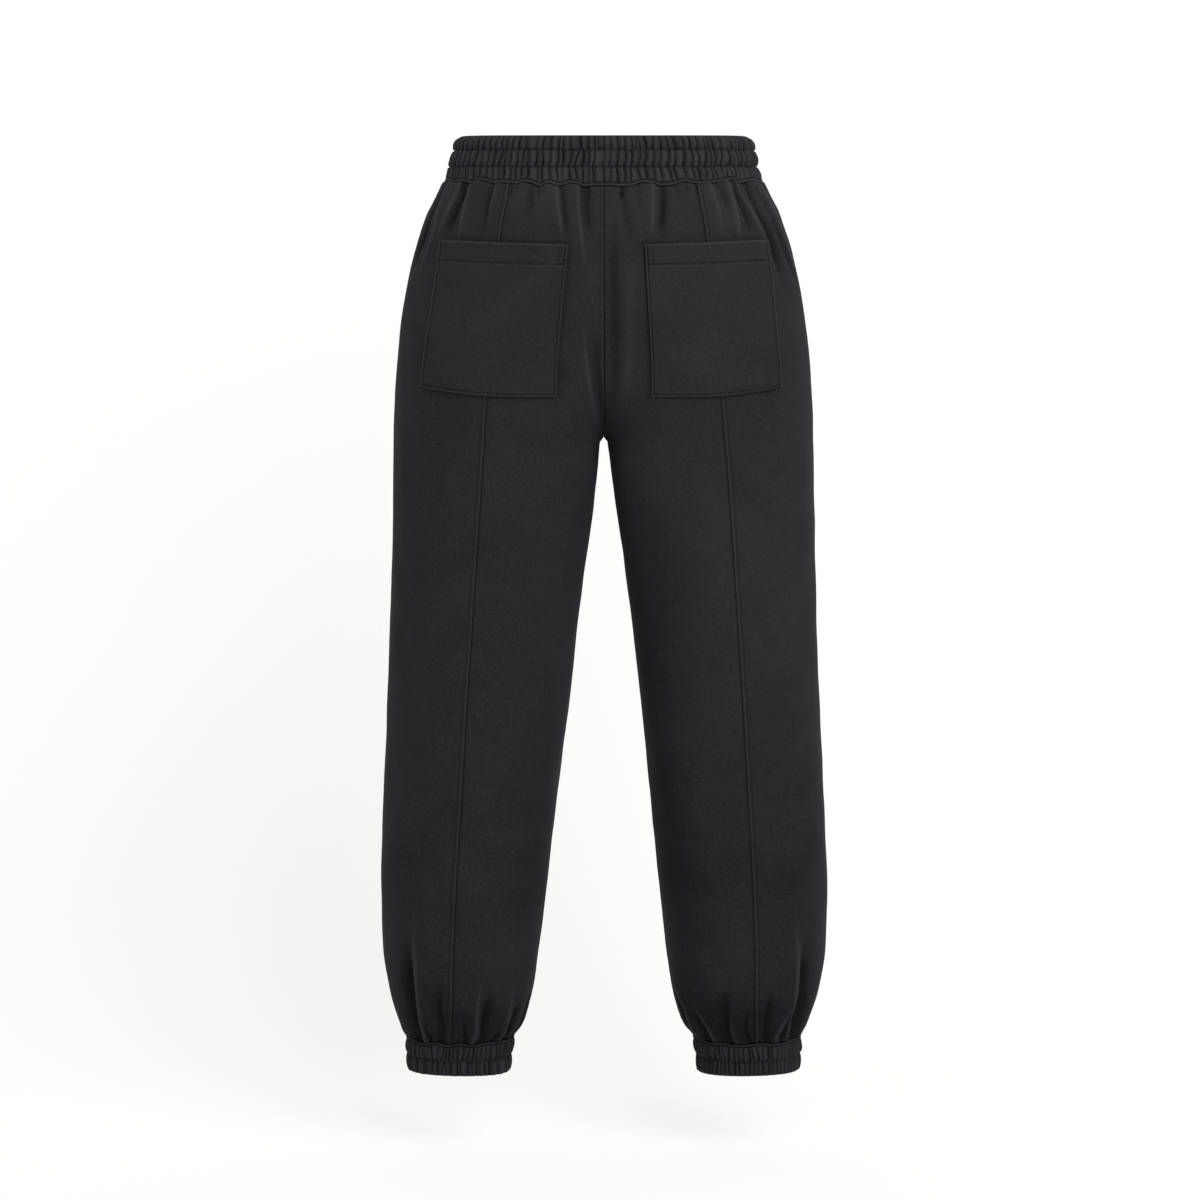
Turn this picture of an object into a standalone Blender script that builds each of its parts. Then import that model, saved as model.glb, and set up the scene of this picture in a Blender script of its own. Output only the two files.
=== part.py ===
"""Jogger sweatpants in heavy fleece, filled out as if worn: elastic waistband, four back panels, two fronts,
two patch pockets on the seat and an elastic cuff on each leg.

Frame: metres, +Z up, +Y to the garment's front, +X to the wearer's right. The origin is the centre of the waist
at the middle of the elastic, where a wearer's waist holds the trousers up.
A height on the trousers is a "drop" below the waist seam. A place round one half of them is a "share": 0 at the
centre back seam or the back of the inseam, 0.5 at the outseam, 1 at the centre front or the front of the inseam.
Shares below 0.1 and above 0.9 are the crotch extensions: narrow at the waist, and the inner thigh lower down.
"""

import math
from functools import lru_cache

import bmesh
import bpy
import numpy as np
from mathutils import Vector

MM = 0.001

# Cloth
FLEECE = 2.2 * MM  # one layer of brushed fleece
GAP = 0.3 * MM  # between pieces that are sewn together
CASING = 5.0 * MM  # fleece, elastic and fleece again, in the waistband and the cuffs

# Heights: the waist seam at the side, and the drops from it
WAIST_SEAM_Z = -0.0245
CROTCH_DROP = 0.2675
ANKLE_DROP = 0.9120
SEAM_DIP = 6.5 * MM  # the waist seam is this much lower at the centre back and front than at the side

# How the seat closes over the crotch: the halves are one round tube above SEAT_HEIGHT and two at the crotch
SEAT_HEIGHT = 0.20
SEAT_CURVE = 0.75  # per metre, how fast the crotch curve opens above its lowest point
CROTCH_TIP = (0.0031, 0.005, 0.012)  # the cloth is drawn this far to the middle, over so much below and beside

# Exponents of the sections, where 2 is an ellipse: all round, and extra on the inseam's side at the crotch, where
# the seat bridges from leg to leg
SQUARENESS = 2.15
BRIDGE = 1.3
BRIDGE_ENDS = 0.17  # below the crotch

EXTENSION_SHARE = 0.1
EXTENSION_WIDTH = 0.25  # of the leg's half width
EXTENSION_COLUMNS = 3

# Sections of one half, in metres from the middle plane: the outseam, the inseam, the furthest back and front,
# and where the seam down the middle of the back lies
SECTION_COLUMNS = ("drop", "outer", "inner", "back", "front", "back_seam")
SECTIONS = (
    (0.000, 0.1690, 0.0033, 0.1170, 0.1150, 0.0978),
    (0.015, 0.1766, 0.0033, 0.1240, 0.1190, 0.1003),
    (0.036, 0.1862, 0.0033, 0.1310, 0.1230, 0.1041),
    (0.079, 0.1996, 0.0033, 0.1410, 0.1280, 0.1095),
    (0.121, 0.2083, 0.0033, 0.1470, 0.1310, 0.1130),
    (0.164, 0.2143, 0.0033, 0.1490, 0.1320, 0.1165),
    (0.206, 0.2182, 0.0033, 0.1455, 0.1305, 0.1199),
    (0.249, 0.2202, 0.0033, 0.1375, 0.1265, 0.1235),
    (0.2675, 0.2207, 0.0033, 0.1335, 0.1243, 0.1250),
    (0.292, 0.2211, 0.0060, 0.1285, 0.1215, 0.1271),
    (0.335, 0.2222, 0.0118, 0.1205, 0.1165, 0.1304),
    (0.399, 0.2237, 0.0209, 0.1135, 0.1100, 0.1350),
    (0.485, 0.2266, 0.0320, 0.1050, 0.1030, 0.1410),
    (0.572, 0.2302, 0.0420, 0.0980, 0.0970, 0.1469),
    (0.658, 0.2344, 0.0512, 0.0940, 0.0910, 0.1520),
    (0.7455, 0.2369, 0.0609, 0.0910, 0.0850, 0.1570),
    (0.811, 0.2353, 0.0687, 0.0880, 0.0790, 0.1596),
    (0.855, 0.2289, 0.0755, 0.0810, 0.0700, 0.1604),
    (0.885, 0.2209, 0.0830, 0.0710, 0.0600, 0.1616),
    (0.912, 0.2114, 0.0958, 0.0560, 0.0460, 0.1628),
)

# Gathers that run down from the waistband and up from the cuff, as troughs between ridges. A trough lies at a
# share of the panel's width at the waist and at the ankle, is so many mm deep there, and fades over so many mm.
FOLD_COLUMNS = ("waist", "ankle", "waist_depth", "waist_reach", "ankle_depth", "ankle_reach")
RIGHT_BACK_INNER_FOLDS = (
    (0.20, 0.15, 3.4, 60, 5.0, 55),
    (0.51, 0.55, 2.4, 72, 2.8, 34),
    (0.85, 0.86, 3.6, 52, 4.8, 60),
)
RIGHT_BACK_OUTER_FOLDS = (
    (0.15, 0.16, 3.6, 62, 4.0, 44),
    (0.36, 0.38, 4.6, 84, 3.4, 60),
    (0.60, 0.60, 4.4, 96, 6.0, 110),
    (0.84, 0.85, 3.6, 88, 3.6, 62),
)
LEFT_BACK_INNER_FOLDS = (
    (0.21, 0.18, 3.6, 50, 3.4, 36),
    (0.52, 0.52, 2.8, 66, 5.0, 58),
    (0.80, 0.85, 3.4, 40, 3.6, 36),
)
LEFT_BACK_OUTER_FOLDS = (
    (0.14, 0.14, 3.4, 50, 4.4, 56),
    (0.34, 0.36, 5.0, 74, 3.0, 30),
    (0.58, 0.62, 5.2, 92, 6.4, 120),
    (0.82, 0.86, 4.2, 100, 3.4, 58),
)
FRONT_FOLDS = (
    (0.11, 0.10, 3.8, 80, 3.8, 56),
    (0.30, 0.29, 3.2, 60, 5.4, 84),
    (0.51, 0.50, 4.4, 72, 3.4, 46),
    (0.70, 0.72, 3.0, 52, 4.8, 62),
    (0.90, 0.91, 3.8, 66, 3.4, 44),
)
# Drops of the panels' rows. The gathered rows at both ends have twice the columns of the plain ones between.
WAIST_ROWS = (0.0, 0.008, 0.020, 0.038, 0.060, 0.088, 0.120)
SEAT_ROWS = (0.145, 0.170, 0.195, 0.218, 0.238, 0.253, 0.261, 0.2655, 0.2675)
LEG_ROWS = (0.2725, 0.290, 0.320, 0.370, 0.440, 0.520, 0.610, 0.700, 0.765)
ANKLE_ROWS = (0.810, 0.845, 0.872, 0.893, 0.906, 0.912)
ROW_DROPS = WAIST_ROWS + SEAT_ROWS + LEG_ROWS + ANKLE_ROWS

# Waistband, from the seam up, in mm: height of the line at the side, how much lower it is at the centre back
# and front, how far it lies inside the waist seam, and how far the gathers stand out and in. The two stitch
# lines part three channels of elastic.
BAND_COLUMNS = ("height", "dip", "inset", "ruffle")
BAND_LINES = (
    (0.3, 6.5, 0.6, 0.5),  # waist seam
    (8.0, 4.2, 4.4, 1.0),  # lowest channel
    (15.6, 2.0, 7.0, 0.5),  # stitch line
    (22.6, 0.2, 7.6, 1.2),  # middle channel
    (29.6, -1.6, 10.2, 0.5),  # stitch line
    (37.0, -3.0, 12.4, 1.0),  # top channel
    (42.3, -3.8, 15.6, 0.3),  # crown of the fold
)
BAND_GATHERS = 84

# Cuff, from its seam down
CUFF_LINES = (
    (0.3, 0.0, 0.4, 0.4),  # cuff seam
    (7.5, 0.0, 1.1, 0.9),  # upper channel
    (14.5, 0.0, 2.2, 0.4),  # stitch line
    (24.5, 0.0, 2.2, 0.9),  # lower channel
    (33.5, 0.0, 4.8, 0.3),  # crown of the fold
)
CUFF_GATHERS = 34

# Patch pocket on the right of the seat: its corners as (share, drop). The left one is its mirror image.
POCKET_CORNERS = {
    "top_inner": (0.1217, 0.0629),
    "top_outer": (0.3725, 0.0592),
    "bottom_inner": (0.1286, 0.2194),
    "bottom_outer": (0.3408, 0.2103),
}
POCKET_BOW = 0.0036  # how far the middle of its bottom edge hangs below a straight line
POCKET_HEM = 0.022  # depth of the turned hem at the mouth
POCKET_HEM_STEP = 1.1 * MM  # how much the hem's second layer stands out
POCKET_LIE = 0.7 * MM  # between the patch and the panels under it
POCKET_COLUMNS_ACROSS = 12
POCKET_ROWS_BELOW_HEM = 8

FLEECE_COLOUR = (0.024, 0.024, 0.026, 1.0)
BAND_COLOUR = (0.021, 0.021, 0.023, 1.0)


def column(table, names, name):
    """One named column of a table, as an array."""
    return np.array([row[names.index(name)] for row in table], float)


def smooth_through(xs, ys, x):
    """A curve through the points that has no corners and never overshoots them."""
    steps = np.diff(xs)
    slopes = np.diff(ys) / steps
    tangents = np.zeros(len(xs))
    same_way = slopes[:-1] * slopes[1:] > 0
    before, after = slopes[:-1][same_way], slopes[1:][same_way]
    tangents[1:-1][same_way] = 2 * before * after / (before + after)
    tangents[0], tangents[-1] = slopes[0], slopes[-1]
    i = np.clip(np.searchsorted(xs, x) - 1, 0, len(steps) - 1)
    t = (x - xs[i]) / steps[i]
    rise = 3 * t**2 - 2 * t**3
    return (
        ys[i] * (1 - rise)
        + ys[i + 1] * rise
        + steps[i] * (t**3 - 2 * t**2 + t) * tangents[i]
        + steps[i] * (t**3 - t**2) * tangents[i + 1]
    )


def section_size(name, drop):
    """A named size of the half's section at a drop."""
    drops = column(SECTIONS, SECTION_COLUMNS, "drop")
    return float(smooth_through(drops, column(SECTIONS, SECTION_COLUMNS, name), drop))


def seat_join(drop):
    """1 where both halves share one round section, 0 from the crotch down, where each leg has its own."""
    t = (CROTCH_DROP - drop) / SEAT_HEIGHT
    if t <= 0:
        return 0.0
    if t >= 1:
        return 1.0
    start = SEAT_CURVE * SEAT_HEIGHT
    return 3 * t**2 - 2 * t**3 + start * (t**3 - 2 * t**2 + t)


@lru_cache(maxsize=None)
def section(drop):
    """The half's section at a drop: centre (x, y), half width and half depth. Above the crotch it reaches over
    the middle plane, where the other half cuts it off."""
    outer = section_size("outer", drop)
    inner = section_size("inner", drop) - seat_join(drop) * outer
    back, front = section_size("back", drop), section_size("front", drop)
    return (outer + inner) / 2, (front - back) / 2, (outer - inner) / 2, (front + back) / 2


def squareness(drop, inner_side):
    """Exponent of the section on its inseam's side or its outseam's."""
    below = min(1.0, max(0.0, (drop - CROTCH_DROP) / BRIDGE_ENDS))
    return SQUARENESS + (BRIDGE * (1 - 3 * below**2 + 2 * below**3) if inner_side else 0)


def power(value, exponent):
    return np.sign(value) * np.abs(value) ** exponent


@lru_cache(maxsize=None)
def outline(drop):
    """Points along the half's section from its inner end by the back, the outseam and the front, and the length
    to each. The inner end is half a gap from the middle plane, or the inseam below the crotch."""
    cx, cy, half_width, half_depth = section(drop)
    turn = np.linspace(0, 2 * math.pi, 1441)
    exponent = np.where(np.cos(turn) > 0, squareness(drop, True), SQUARENESS)
    x = cx - half_width * power(np.cos(turn), 2 / exponent)
    y = cy - half_depth * power(np.sin(turn), 2 / exponent)
    pull, below, beside = CROTCH_TIP
    down = min(1.0, max(0.0, (drop - CROTCH_DROP) / below))
    x -= pull * (1 - down) ** 2 * np.exp(-(((x - cx + half_width) / beside) ** 2))
    kept = np.flatnonzero(x >= GAP / 2)
    first, last = kept[0], kept[-1]
    ends = []
    for end, beyond in ((first, first - 1), (last, last + 1)):
        if 0 <= beyond < len(x):
            t = (x[end] - GAP / 2) / (x[end] - x[beyond])
            ends.append((GAP / 2, y[end] + t * (y[beyond] - y[end])))
        else:
            ends.append((x[end], y[end]))
    x = np.concatenate([[ends[0][0]], x[kept], [ends[1][0]]])
    y = np.concatenate([[ends[0][1]], y[kept], [ends[1][1]]])
    length = np.concatenate([[0], np.cumsum(np.hypot(np.diff(x), np.diff(y)))])
    return x, y, length


def outward(drop, x, y):
    """The direction straight out of the cloth at a point of a section."""

    def form(d, px, py):
        cx, cy, half_width, half_depth = section(round(d, 6))
        exponent = squareness(d, px < cx)
        return abs((px - cx) / half_width) ** exponent + abs((py - cy) / half_depth) ** exponent

    h = 1e-4
    return Vector(
        (
            form(drop, x + h, y) - form(drop, x - h, y),
            form(drop, x, y + h) - form(drop, x, y - h),
            form(drop - h, x, y) - form(drop + h, x, y),
        )
    ).normalized()


@lru_cache(maxsize=None)
def marks(drop):
    """Lengths along the section, from its inner end, to shares 0, 0.1, 0.5, 0.9 and 1, and to the back seam."""
    x, _, length = outline(drop)
    widest = int(np.argmax(x))
    back, front = slice(0, widest + 1), slice(widest, len(x))
    inner = section_size("inner", drop)
    edge = inner + EXTENSION_WIDTH * (section_size("outer", drop) - inner) / 2
    back_edge = np.interp(edge, x[back], length[back])
    front_edge = np.interp(-edge, -x[front], length[front])
    seam = np.interp(section_size("back_seam", drop), x[back], length[back])
    return GAP / 2, back_edge, length[widest], front_edge, length[-1] - GAP / 2, seam


SHARES_OF_MARKS = (0, EXTENSION_SHARE, 0.5, 1 - EXTENSION_SHARE, 1)


def on_half(share, drop):
    """Point and outward direction on the right half's cloth, with no folds."""
    drop = round(drop, 6)
    x, y, length = outline(drop)
    along = np.interp(share, SHARES_OF_MARKS, marks(drop)[:5])
    px, py = float(np.interp(along, length, x)), float(np.interp(along, length, y))
    return Vector((px, py, WAIST_SEAM_Z - drop)), outward(drop, px, py)


def back_seam_share(drop):
    """Share of the half at which the seam down the middle of the back lies."""
    lengths = marks(round(drop, 6))
    return float(np.interp(lengths[5], lengths[:5], SHARES_OF_MARKS))


def half_gap_share(drop):
    """Half a gap, as a share of the half between its extensions."""
    lengths = marks(round(drop, 6))
    return (0.5 - EXTENSION_SHARE) * GAP / 2 / (lengths[2] - lengths[1])


def fold_lines(folds, drop, first, last):
    """Where the ridges, slopes and troughs of a panel lie at a drop, edge to edge, and how deep each is."""
    down = min(1.0, max(0.0, drop / ANKLE_DROP))
    troughs = [first + (last - first) * ((1 - down) * row[0] + down * row[1]) for row in folds]
    places, depths = [first], [0.0]
    for trough, after, row in zip(troughs, troughs[1:] + [None], folds):
        ridge = last if after is None else (trough + after) / 2
        waist = row[2] * math.exp(-((drop / (row[3] * MM)) ** 2))
        ankle = row[4] * math.exp(-(((ANKLE_DROP - drop) / (row[5] * MM)) ** 2))
        depth = (waist + ankle) * MM
        places += [(places[-1] + trough) / 2, trough, (trough + ridge) / 2, ridge]
        depths += [depth / 2, depth, depth / 2, 0.0]
    return places, depths


def panel_columns(kind, folds, drop):
    """Shares of a panel's columns at a drop, and how deep each lies in a fold."""
    seam, half_gap = back_seam_share(drop), half_gap_share(drop)
    if kind == "back_outer":
        return fold_lines(folds, drop, seam + half_gap, 0.5 - half_gap)
    if kind == "back_inner":
        extension = [EXTENSION_SHARE * i / EXTENSION_COLUMNS for i in range(EXTENSION_COLUMNS)]
        places, depths = fold_lines(folds, drop, EXTENSION_SHARE, seam - half_gap)
        return extension + places, [0.0] * len(extension) + depths
    extension = [1 - EXTENSION_SHARE * i / EXTENSION_COLUMNS for i in range(EXTENSION_COLUMNS)][::-1]
    places, depths = fold_lines(folds, drop, 0.5 + half_gap, 1 - EXTENSION_SHARE)
    return places + extension, depths + [0.0] * len(extension)


def cloth_wall(name, columns, rows, place, spare, all_round=False):
    """A closed wall of cloth: a grid with an outer (layer 0) and an inner (layer 1) side, each point of which
    goes where place(column, row, layer) says. The grid's edges that spare names are left out."""
    bm = bmesh.new()
    bmesh.ops.create_grid(bm, x_segments=columns, y_segments=rows, size=0.5)
    made = bmesh.ops.extrude_face_region(bm, geom=bm.faces[:])
    inner = [v for v in made["geom"] if isinstance(v, bmesh.types.BMVert)]
    bmesh.ops.translate(bm, verts=inner, vec=(0, 0, 1))
    bmesh.ops.recalc_face_normals(bm, faces=bm.faces[:])
    for v in bm.verts:
        v.co = (round((v.co.x + 0.5) * columns), round((0.5 - v.co.y) * rows), round(v.co.z))
    if all_round:
        ends = [f for f in bm.faces if len({v.co.x for v in f.verts}) == 1]
        bmesh.ops.delete(bm, geom=ends, context="FACES_ONLY")
    left_out = [e for e in bm.edges if spare(e.verts[0].co, e.verts[1].co)]
    bmesh.ops.dissolve_edges(bm, edges=left_out, use_verts=True)
    for v in bm.verts:
        v.co = place(round(v.co.x), round(v.co.y), round(v.co.z))
    if all_round:
        bmesh.ops.remove_doubles(bm, verts=bm.verts[:], dist=1e-6)
    if bm.calc_volume(signed=True) < 0:
        bmesh.ops.reverse_faces(bm, faces=bm.faces[:])
    mesh = bpy.data.meshes.new(name)
    bm.to_mesh(mesh)
    bm.free()
    return mesh


def fleece_material(name, colour):
    material = bpy.data.materials.new(name)
    material.use_nodes = True
    shader = material.node_tree.nodes["Principled BSDF"]
    shader.inputs["Base Color"].default_value = colour
    shader.inputs["Roughness"].default_value = 0.9
    shader.inputs["Metallic"].default_value = 0.0
    return material


def add(collection, name, mesh, material, sharp=50):
    mesh.shade_smooth()
    mesh.set_sharp_from_angle(angle=math.radians(sharp))
    mesh.materials.append(material)
    obj = bpy.data.objects.new(name, mesh)
    collection.objects.link(obj)
    return obj


def panel(name, kind, side, folds):
    """A panel from the waist seam to the cuff seam."""
    extension = 0 if kind == "back_outer" else EXTENSION_COLUMNS
    columns, rows = 4 * len(folds) + extension, len(ROW_DROPS) - 1
    first_fold = extension if kind == "back_inner" else 0
    slopes = [first_fold + i for i in range(4 * len(folds)) if i % 2]
    plain_from, plain_to = len(WAIST_ROWS) - 1, rows - len(ANKLE_ROWS) + 1

    def place(col, row, layer):
        drop = ROW_DROPS[row]
        places, depths = panel_columns(kind, folds, drop)
        point, out = on_half(places[col], drop)
        point = point - out * (depths[col] + layer * FLEECE)
        point.z -= waist_seam_shift(point.y, drop)
        return Vector((side * point.x, point.y, point.z))

    def spare(a, b):
        downward = a.x == b.x and a.z == b.z
        return downward and a.x in slopes and min(a.y, b.y) >= plain_from and max(a.y, b.y) <= plain_to

    return cloth_wall(name, columns, rows, place, spare)


def waist_seam_shift(y, drop):
    """How much lower than its drop a point is: the rows near the waist follow the dip of its seam."""
    _, cy, _, half_depth = section(0.0)
    dip = SEAM_DIP * ((y - cy) / half_depth) ** 2
    return (dip + GAP / 2) * max(0.0, 1 - drop / 0.12) ** 2


def casing_wall(name, lines, gathers, centre, half_width, half_depth, up):
    """A gathered casing round the waist (up = 1) or an ankle (up = -1)."""
    turn = np.linspace(0, 2 * math.pi, 1441)
    xs = half_width * power(np.sin(turn), 2 / SQUARENESS)
    ys = -half_depth * power(np.cos(turn), 2 / SQUARENESS)
    length = np.concatenate([[0], np.cumsum(np.hypot(np.diff(xs), np.diff(ys)))])
    columns = 2 * gathers

    def place(col, row, layer):
        height, dip, inset, ruffle = (value * MM for value in lines[row])
        col = col % columns
        along = (col + 0.2 * math.sin(2.4 * col) * min(1, col)) / columns * length[-1]
        x, y = np.interp(along, length, xs), np.interp(along, length, ys)
        out = Vector(
            (
                power(x / half_width, SQUARENESS - 1) / half_width,
                power(y / half_depth, SQUARENESS - 1) / half_depth,
                0,
            )
        ).normalized()
        crest = ruffle * (1 if col % 2 else -1) * (1 + 0.35 * math.sin(1.7 * col + 0.9 * row))
        offset = -inset + (-CASING if layer else crest)
        rise = up * height - dip * (y / half_depth) ** 2
        return centre + Vector((x, y, rise)) + out * offset

    def spare(a, b):
        inside = a.z == 1 and b.z == 1 and a.y == b.y
        return inside and 0 < a.y < len(lines) - 1

    return cloth_wall(name, columns, len(lines) - 1, place, spare, all_round=True)


def waistband():
    _, cy, half_width, half_depth = section(0.0)
    centre = Vector((0, cy, WAIST_SEAM_Z))
    return casing_wall("waistband", BAND_LINES, BAND_GATHERS, centre, half_width, half_depth, 1)


def cuff(name, side):
    cx, cy, half_width, half_depth = section(ANKLE_DROP)
    centre = Vector((side * cx, cy, WAIST_SEAM_Z - ANKLE_DROP))
    return casing_wall(name, CUFF_LINES, CUFF_GATHERS, centre, half_width, half_depth, -1)


def pocket(name, side):
    """A patch that lies on the back panels, with its mouth turned under and stitched down as a second layer."""
    corners = {key: np.array(value) for key, value in POCKET_CORNERS.items()}
    height = corners["bottom_inner"][1] - corners["top_inner"][1]
    hem = POCKET_HEM / height
    rows = [0, hem * 0.5, hem, hem + 0.004] + [
        hem + 0.004 + (1 - hem - 0.004) * (i + 1) / POCKET_ROWS_BELOW_HEM for i in range(POCKET_ROWS_BELOW_HEM)
    ]

    def place(col, row, layer):
        across, down = col / POCKET_COLUMNS_ACROSS, rows[row]
        top = corners["top_inner"] * (1 - across) + corners["top_outer"] * across
        bottom = corners["bottom_inner"] * (1 - across) + corners["bottom_outer"] * across
        share, drop = top * (1 - down) + bottom * down
        drop += POCKET_BOW * 4 * across * (1 - across) * down
        point, out = on_half(float(share), float(drop))
        thick = FLEECE + (POCKET_HEM_STEP if row <= 2 else 0)
        point = point + out * (POCKET_LIE + (0 if layer else thick))
        point.z -= waist_seam_shift(point.y, float(drop))
        return Vector((side * point.x, point.y, point.z))

    return cloth_wall(name, POCKET_COLUMNS_ACROSS, len(rows) - 1, place, lambda a, b: False)


def main():
    for obj in list(bpy.data.objects):
        bpy.data.objects.remove(obj, do_unlink=True)
    trousers = bpy.data.collections.new("jogger_sweatpants")
    bpy.context.scene.collection.children.link(trousers)
    fleece = fleece_material("fleece", FLEECE_COLOUR)
    casing = fleece_material("gathered_fleece", BAND_COLOUR)

    for hand, side, inner_folds, outer_folds in (
        ("right", 1, RIGHT_BACK_INNER_FOLDS, RIGHT_BACK_OUTER_FOLDS),
        ("left", -1, LEFT_BACK_INNER_FOLDS, LEFT_BACK_OUTER_FOLDS),
    ):
        for kind, folds in (
            ("back_inner", inner_folds),
            ("back_outer", outer_folds),
            ("front", FRONT_FOLDS),
        ):
            name = f"{kind}_{hand}"
            add(trousers, name, panel(name, kind, side, folds), fleece)
        add(trousers, f"pocket_{hand}", pocket(f"pocket_{hand}", side), fleece)
        add(trousers, f"cuff_{hand}", cuff(f"cuff_{hand}", side), casing, sharp=25)
    add(trousers, "waistband", waistband(), casing, sharp=25)


main()
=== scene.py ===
# %% [markdown]
# # Jogger sweatpants in heavy fleece, dressed for a picture
#
# The trousers stand as if somebody wore them, seen from behind. Their solids are already made elsewhere, and this
# lesson puts the cloth's looks on them: fine gathers, seams, stitches, pocket edges and the washed black fleece.
# Everything is in metres. The back of the garment looks along -Y, the wearer's right hand is at +X, up is +Z, and
# the origin is the middle of the waist.
#
# First the imported model is loaded.

# %% Load the imported trousers
import math
from functools import lru_cache
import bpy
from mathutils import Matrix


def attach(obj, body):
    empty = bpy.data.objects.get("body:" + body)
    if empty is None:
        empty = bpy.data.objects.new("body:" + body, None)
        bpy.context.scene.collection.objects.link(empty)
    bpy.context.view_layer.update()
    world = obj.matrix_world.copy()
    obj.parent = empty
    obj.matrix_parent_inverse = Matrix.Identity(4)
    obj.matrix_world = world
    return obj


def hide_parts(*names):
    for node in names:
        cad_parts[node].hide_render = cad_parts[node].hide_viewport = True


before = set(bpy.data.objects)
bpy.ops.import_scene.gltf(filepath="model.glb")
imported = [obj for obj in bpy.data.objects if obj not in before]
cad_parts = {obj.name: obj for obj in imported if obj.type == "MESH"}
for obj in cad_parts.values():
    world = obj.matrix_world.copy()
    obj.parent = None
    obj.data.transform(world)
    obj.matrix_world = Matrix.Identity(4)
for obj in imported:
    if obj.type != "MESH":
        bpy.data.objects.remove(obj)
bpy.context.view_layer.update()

from types import SimpleNamespace

import bmesh
import bpy
import numpy as np
from mathutils import Matrix, Vector

MM = 0.001

# %% Helpers for objects, meshes and nodes
def add_object(name, data):
    made = bpy.data.objects.new(name, data)
    bpy.context.scene.collection.objects.link(made)
    return made


def add_piece(name, mesh):
    mesh.shade_smooth()
    return add_object(name, mesh)


def mesh_from(bm, name):
    mesh = bpy.data.meshes.new(name)
    bm.to_mesh(mesh)
    bm.free()
    return mesh


def set_inputs(node, **values):
    """Sets a node's inputs; an underscore stands for a space in an input's name."""
    for name, value in values.items():
        node.inputs[name.replace("_", " ")].default_value = value
    return node


def add_node(tree, kind, **values):
    return set_inputs(tree.nodes.new("ShaderNode" + kind), **values)


def new_material(name, **values):
    """A material, its nodes and its shader with the given values."""
    material = bpy.data.materials.new(name)
    material.use_nodes = True
    tree = material.node_tree
    return material, tree, set_inputs(tree.nodes["Principled BSDF"], **values)


# %% [markdown]
# ## The camera
#
# A garment picture is taken from some distance with a long lens, so that both legs look equally wide. The camera
# here stands 4 m behind the trousers and looks five degrees down, which shows the waistband's seam as a shallow
# smile. Moving the camera closer would spread the legs like a fan, so the long lens is the better choice.

# %% Place the camera
CAMERA_DISTANCE, CAMERA_TILT = 4.0, math.radians(5.0)
LOOK_AT = Vector((-0.00383, 0.0, -0.46475))
FOCAL_LENGTH, FILM_WIDTH = 112.9, 36.0

lens = bpy.data.cameras.new("garment_camera")
lens.lens, lens.sensor_width, lens.clip_end = FOCAL_LENGTH, FILM_WIDTH, 30
camera = add_object("garment_camera", lens)
camera.location = LOOK_AT + CAMERA_DISTANCE * Vector((0, -math.cos(CAMERA_TILT), math.sin(CAMERA_TILT)))
camera.rotation_euler = (math.pi / 2 - CAMERA_TILT, 0, 0)
bpy.context.scene.camera = camera
print("camera stands at", [round(v, 3) for v in camera.location])

# %% [markdown]
# ## The studio
#
# Dark cloth shows its folds only when large pale things stand round it. A studio uses a sweep: one sheet of paper
# that is floor in front and wall behind, with a wide bend between them, so no edge shows. It is made here by
# extruding one line of points along a curved path. The ankles of a wearer stand a few centimetres above the floor,
# so the floor lies that much below the hems. Paper lit from all round shows hardly any shadow; a little glow of its
# own does the same here. Seen from behind, the paper is clear, so that the front can be looked at too.

# %% Build the sweep
FLOOR_Z, FLOOR_START, SWEEP_WIDTH = -1.055, -9.0, 14.0
WALL_Y, WALL_HEIGHT, BEND, BEND_STEPS = 0.75, 5.0, 0.45, 16
PAPER_COLOUR, PAPER_GLOW = (0.25, 0.25, 0.25, 1), 0.735


def paper_material(name):
    """Paper that glows a little and is clear from behind."""
    material, tree, shader = new_material(
        name, Base_Color=PAPER_COLOUR, Roughness=0.95, Specular_IOR_Level=0.1,
        Emission_Color=(1.0, 1.0, 0.99, 1), Emission_Strength=PAPER_GLOW,
    )
    blend = add_node(tree, "MixShader")
    link = tree.links.new
    link(add_node(tree, "NewGeometry").outputs["Backfacing"], blend.inputs["Fac"])
    link(shader.outputs["BSDF"], blend.inputs[1])
    link(add_node(tree, "BsdfTransparent").outputs["BSDF"], blend.inputs[2])
    link(blend.outputs["Shader"], tree.nodes["Material Output"].inputs["Surface"])
    return material


def build_sweep():
    bm = bmesh.new()
    edge = bm.edges.new([bm.verts.new((x, FLOOR_START, FLOOR_Z)) for x in (-SWEEP_WIDTH / 2, SWEEP_WIDTH / 2)])
    path = [(WALL_Y - BEND + BEND * math.sin(turn), FLOOR_Z + BEND * (1 - math.cos(turn)))
            for turn in np.linspace(0, math.pi / 2, BEND_STEPS + 1)]
    for y, z in path + [(WALL_Y, FLOOR_Z + WALL_HEIGHT)]:
        made = bmesh.ops.extrude_edge_only(bm, edges=[edge])["geom"]
        edge = next(e for e in made if isinstance(e, bmesh.types.BMEdge))
        for v in edge.verts:
            v.co.y, v.co.z = y, z
    bm.normal_update()
    if sum(f.normal.z for f in bm.faces) < 0:
        bmesh.ops.reverse_faces(bm, faces=bm.faces[:])
    sweep = add_piece("studio_sweep", mesh_from(bm, "studio_sweep"))
    sweep.data.materials.append(paper_material("studio_paper"))
    return sweep


print("sweep has", len(build_sweep().data.polygons), "faces")

# %% [markdown]
# ## The light
#
# Fleece swallows light, and its folds are read from soft shadows. One big soft box stands above the camera and a
# little to its right, a weaker one fills in from the left, and the white room does the rest. Small lamps would
# give hard shadows that such a picture doesn't have.

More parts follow.
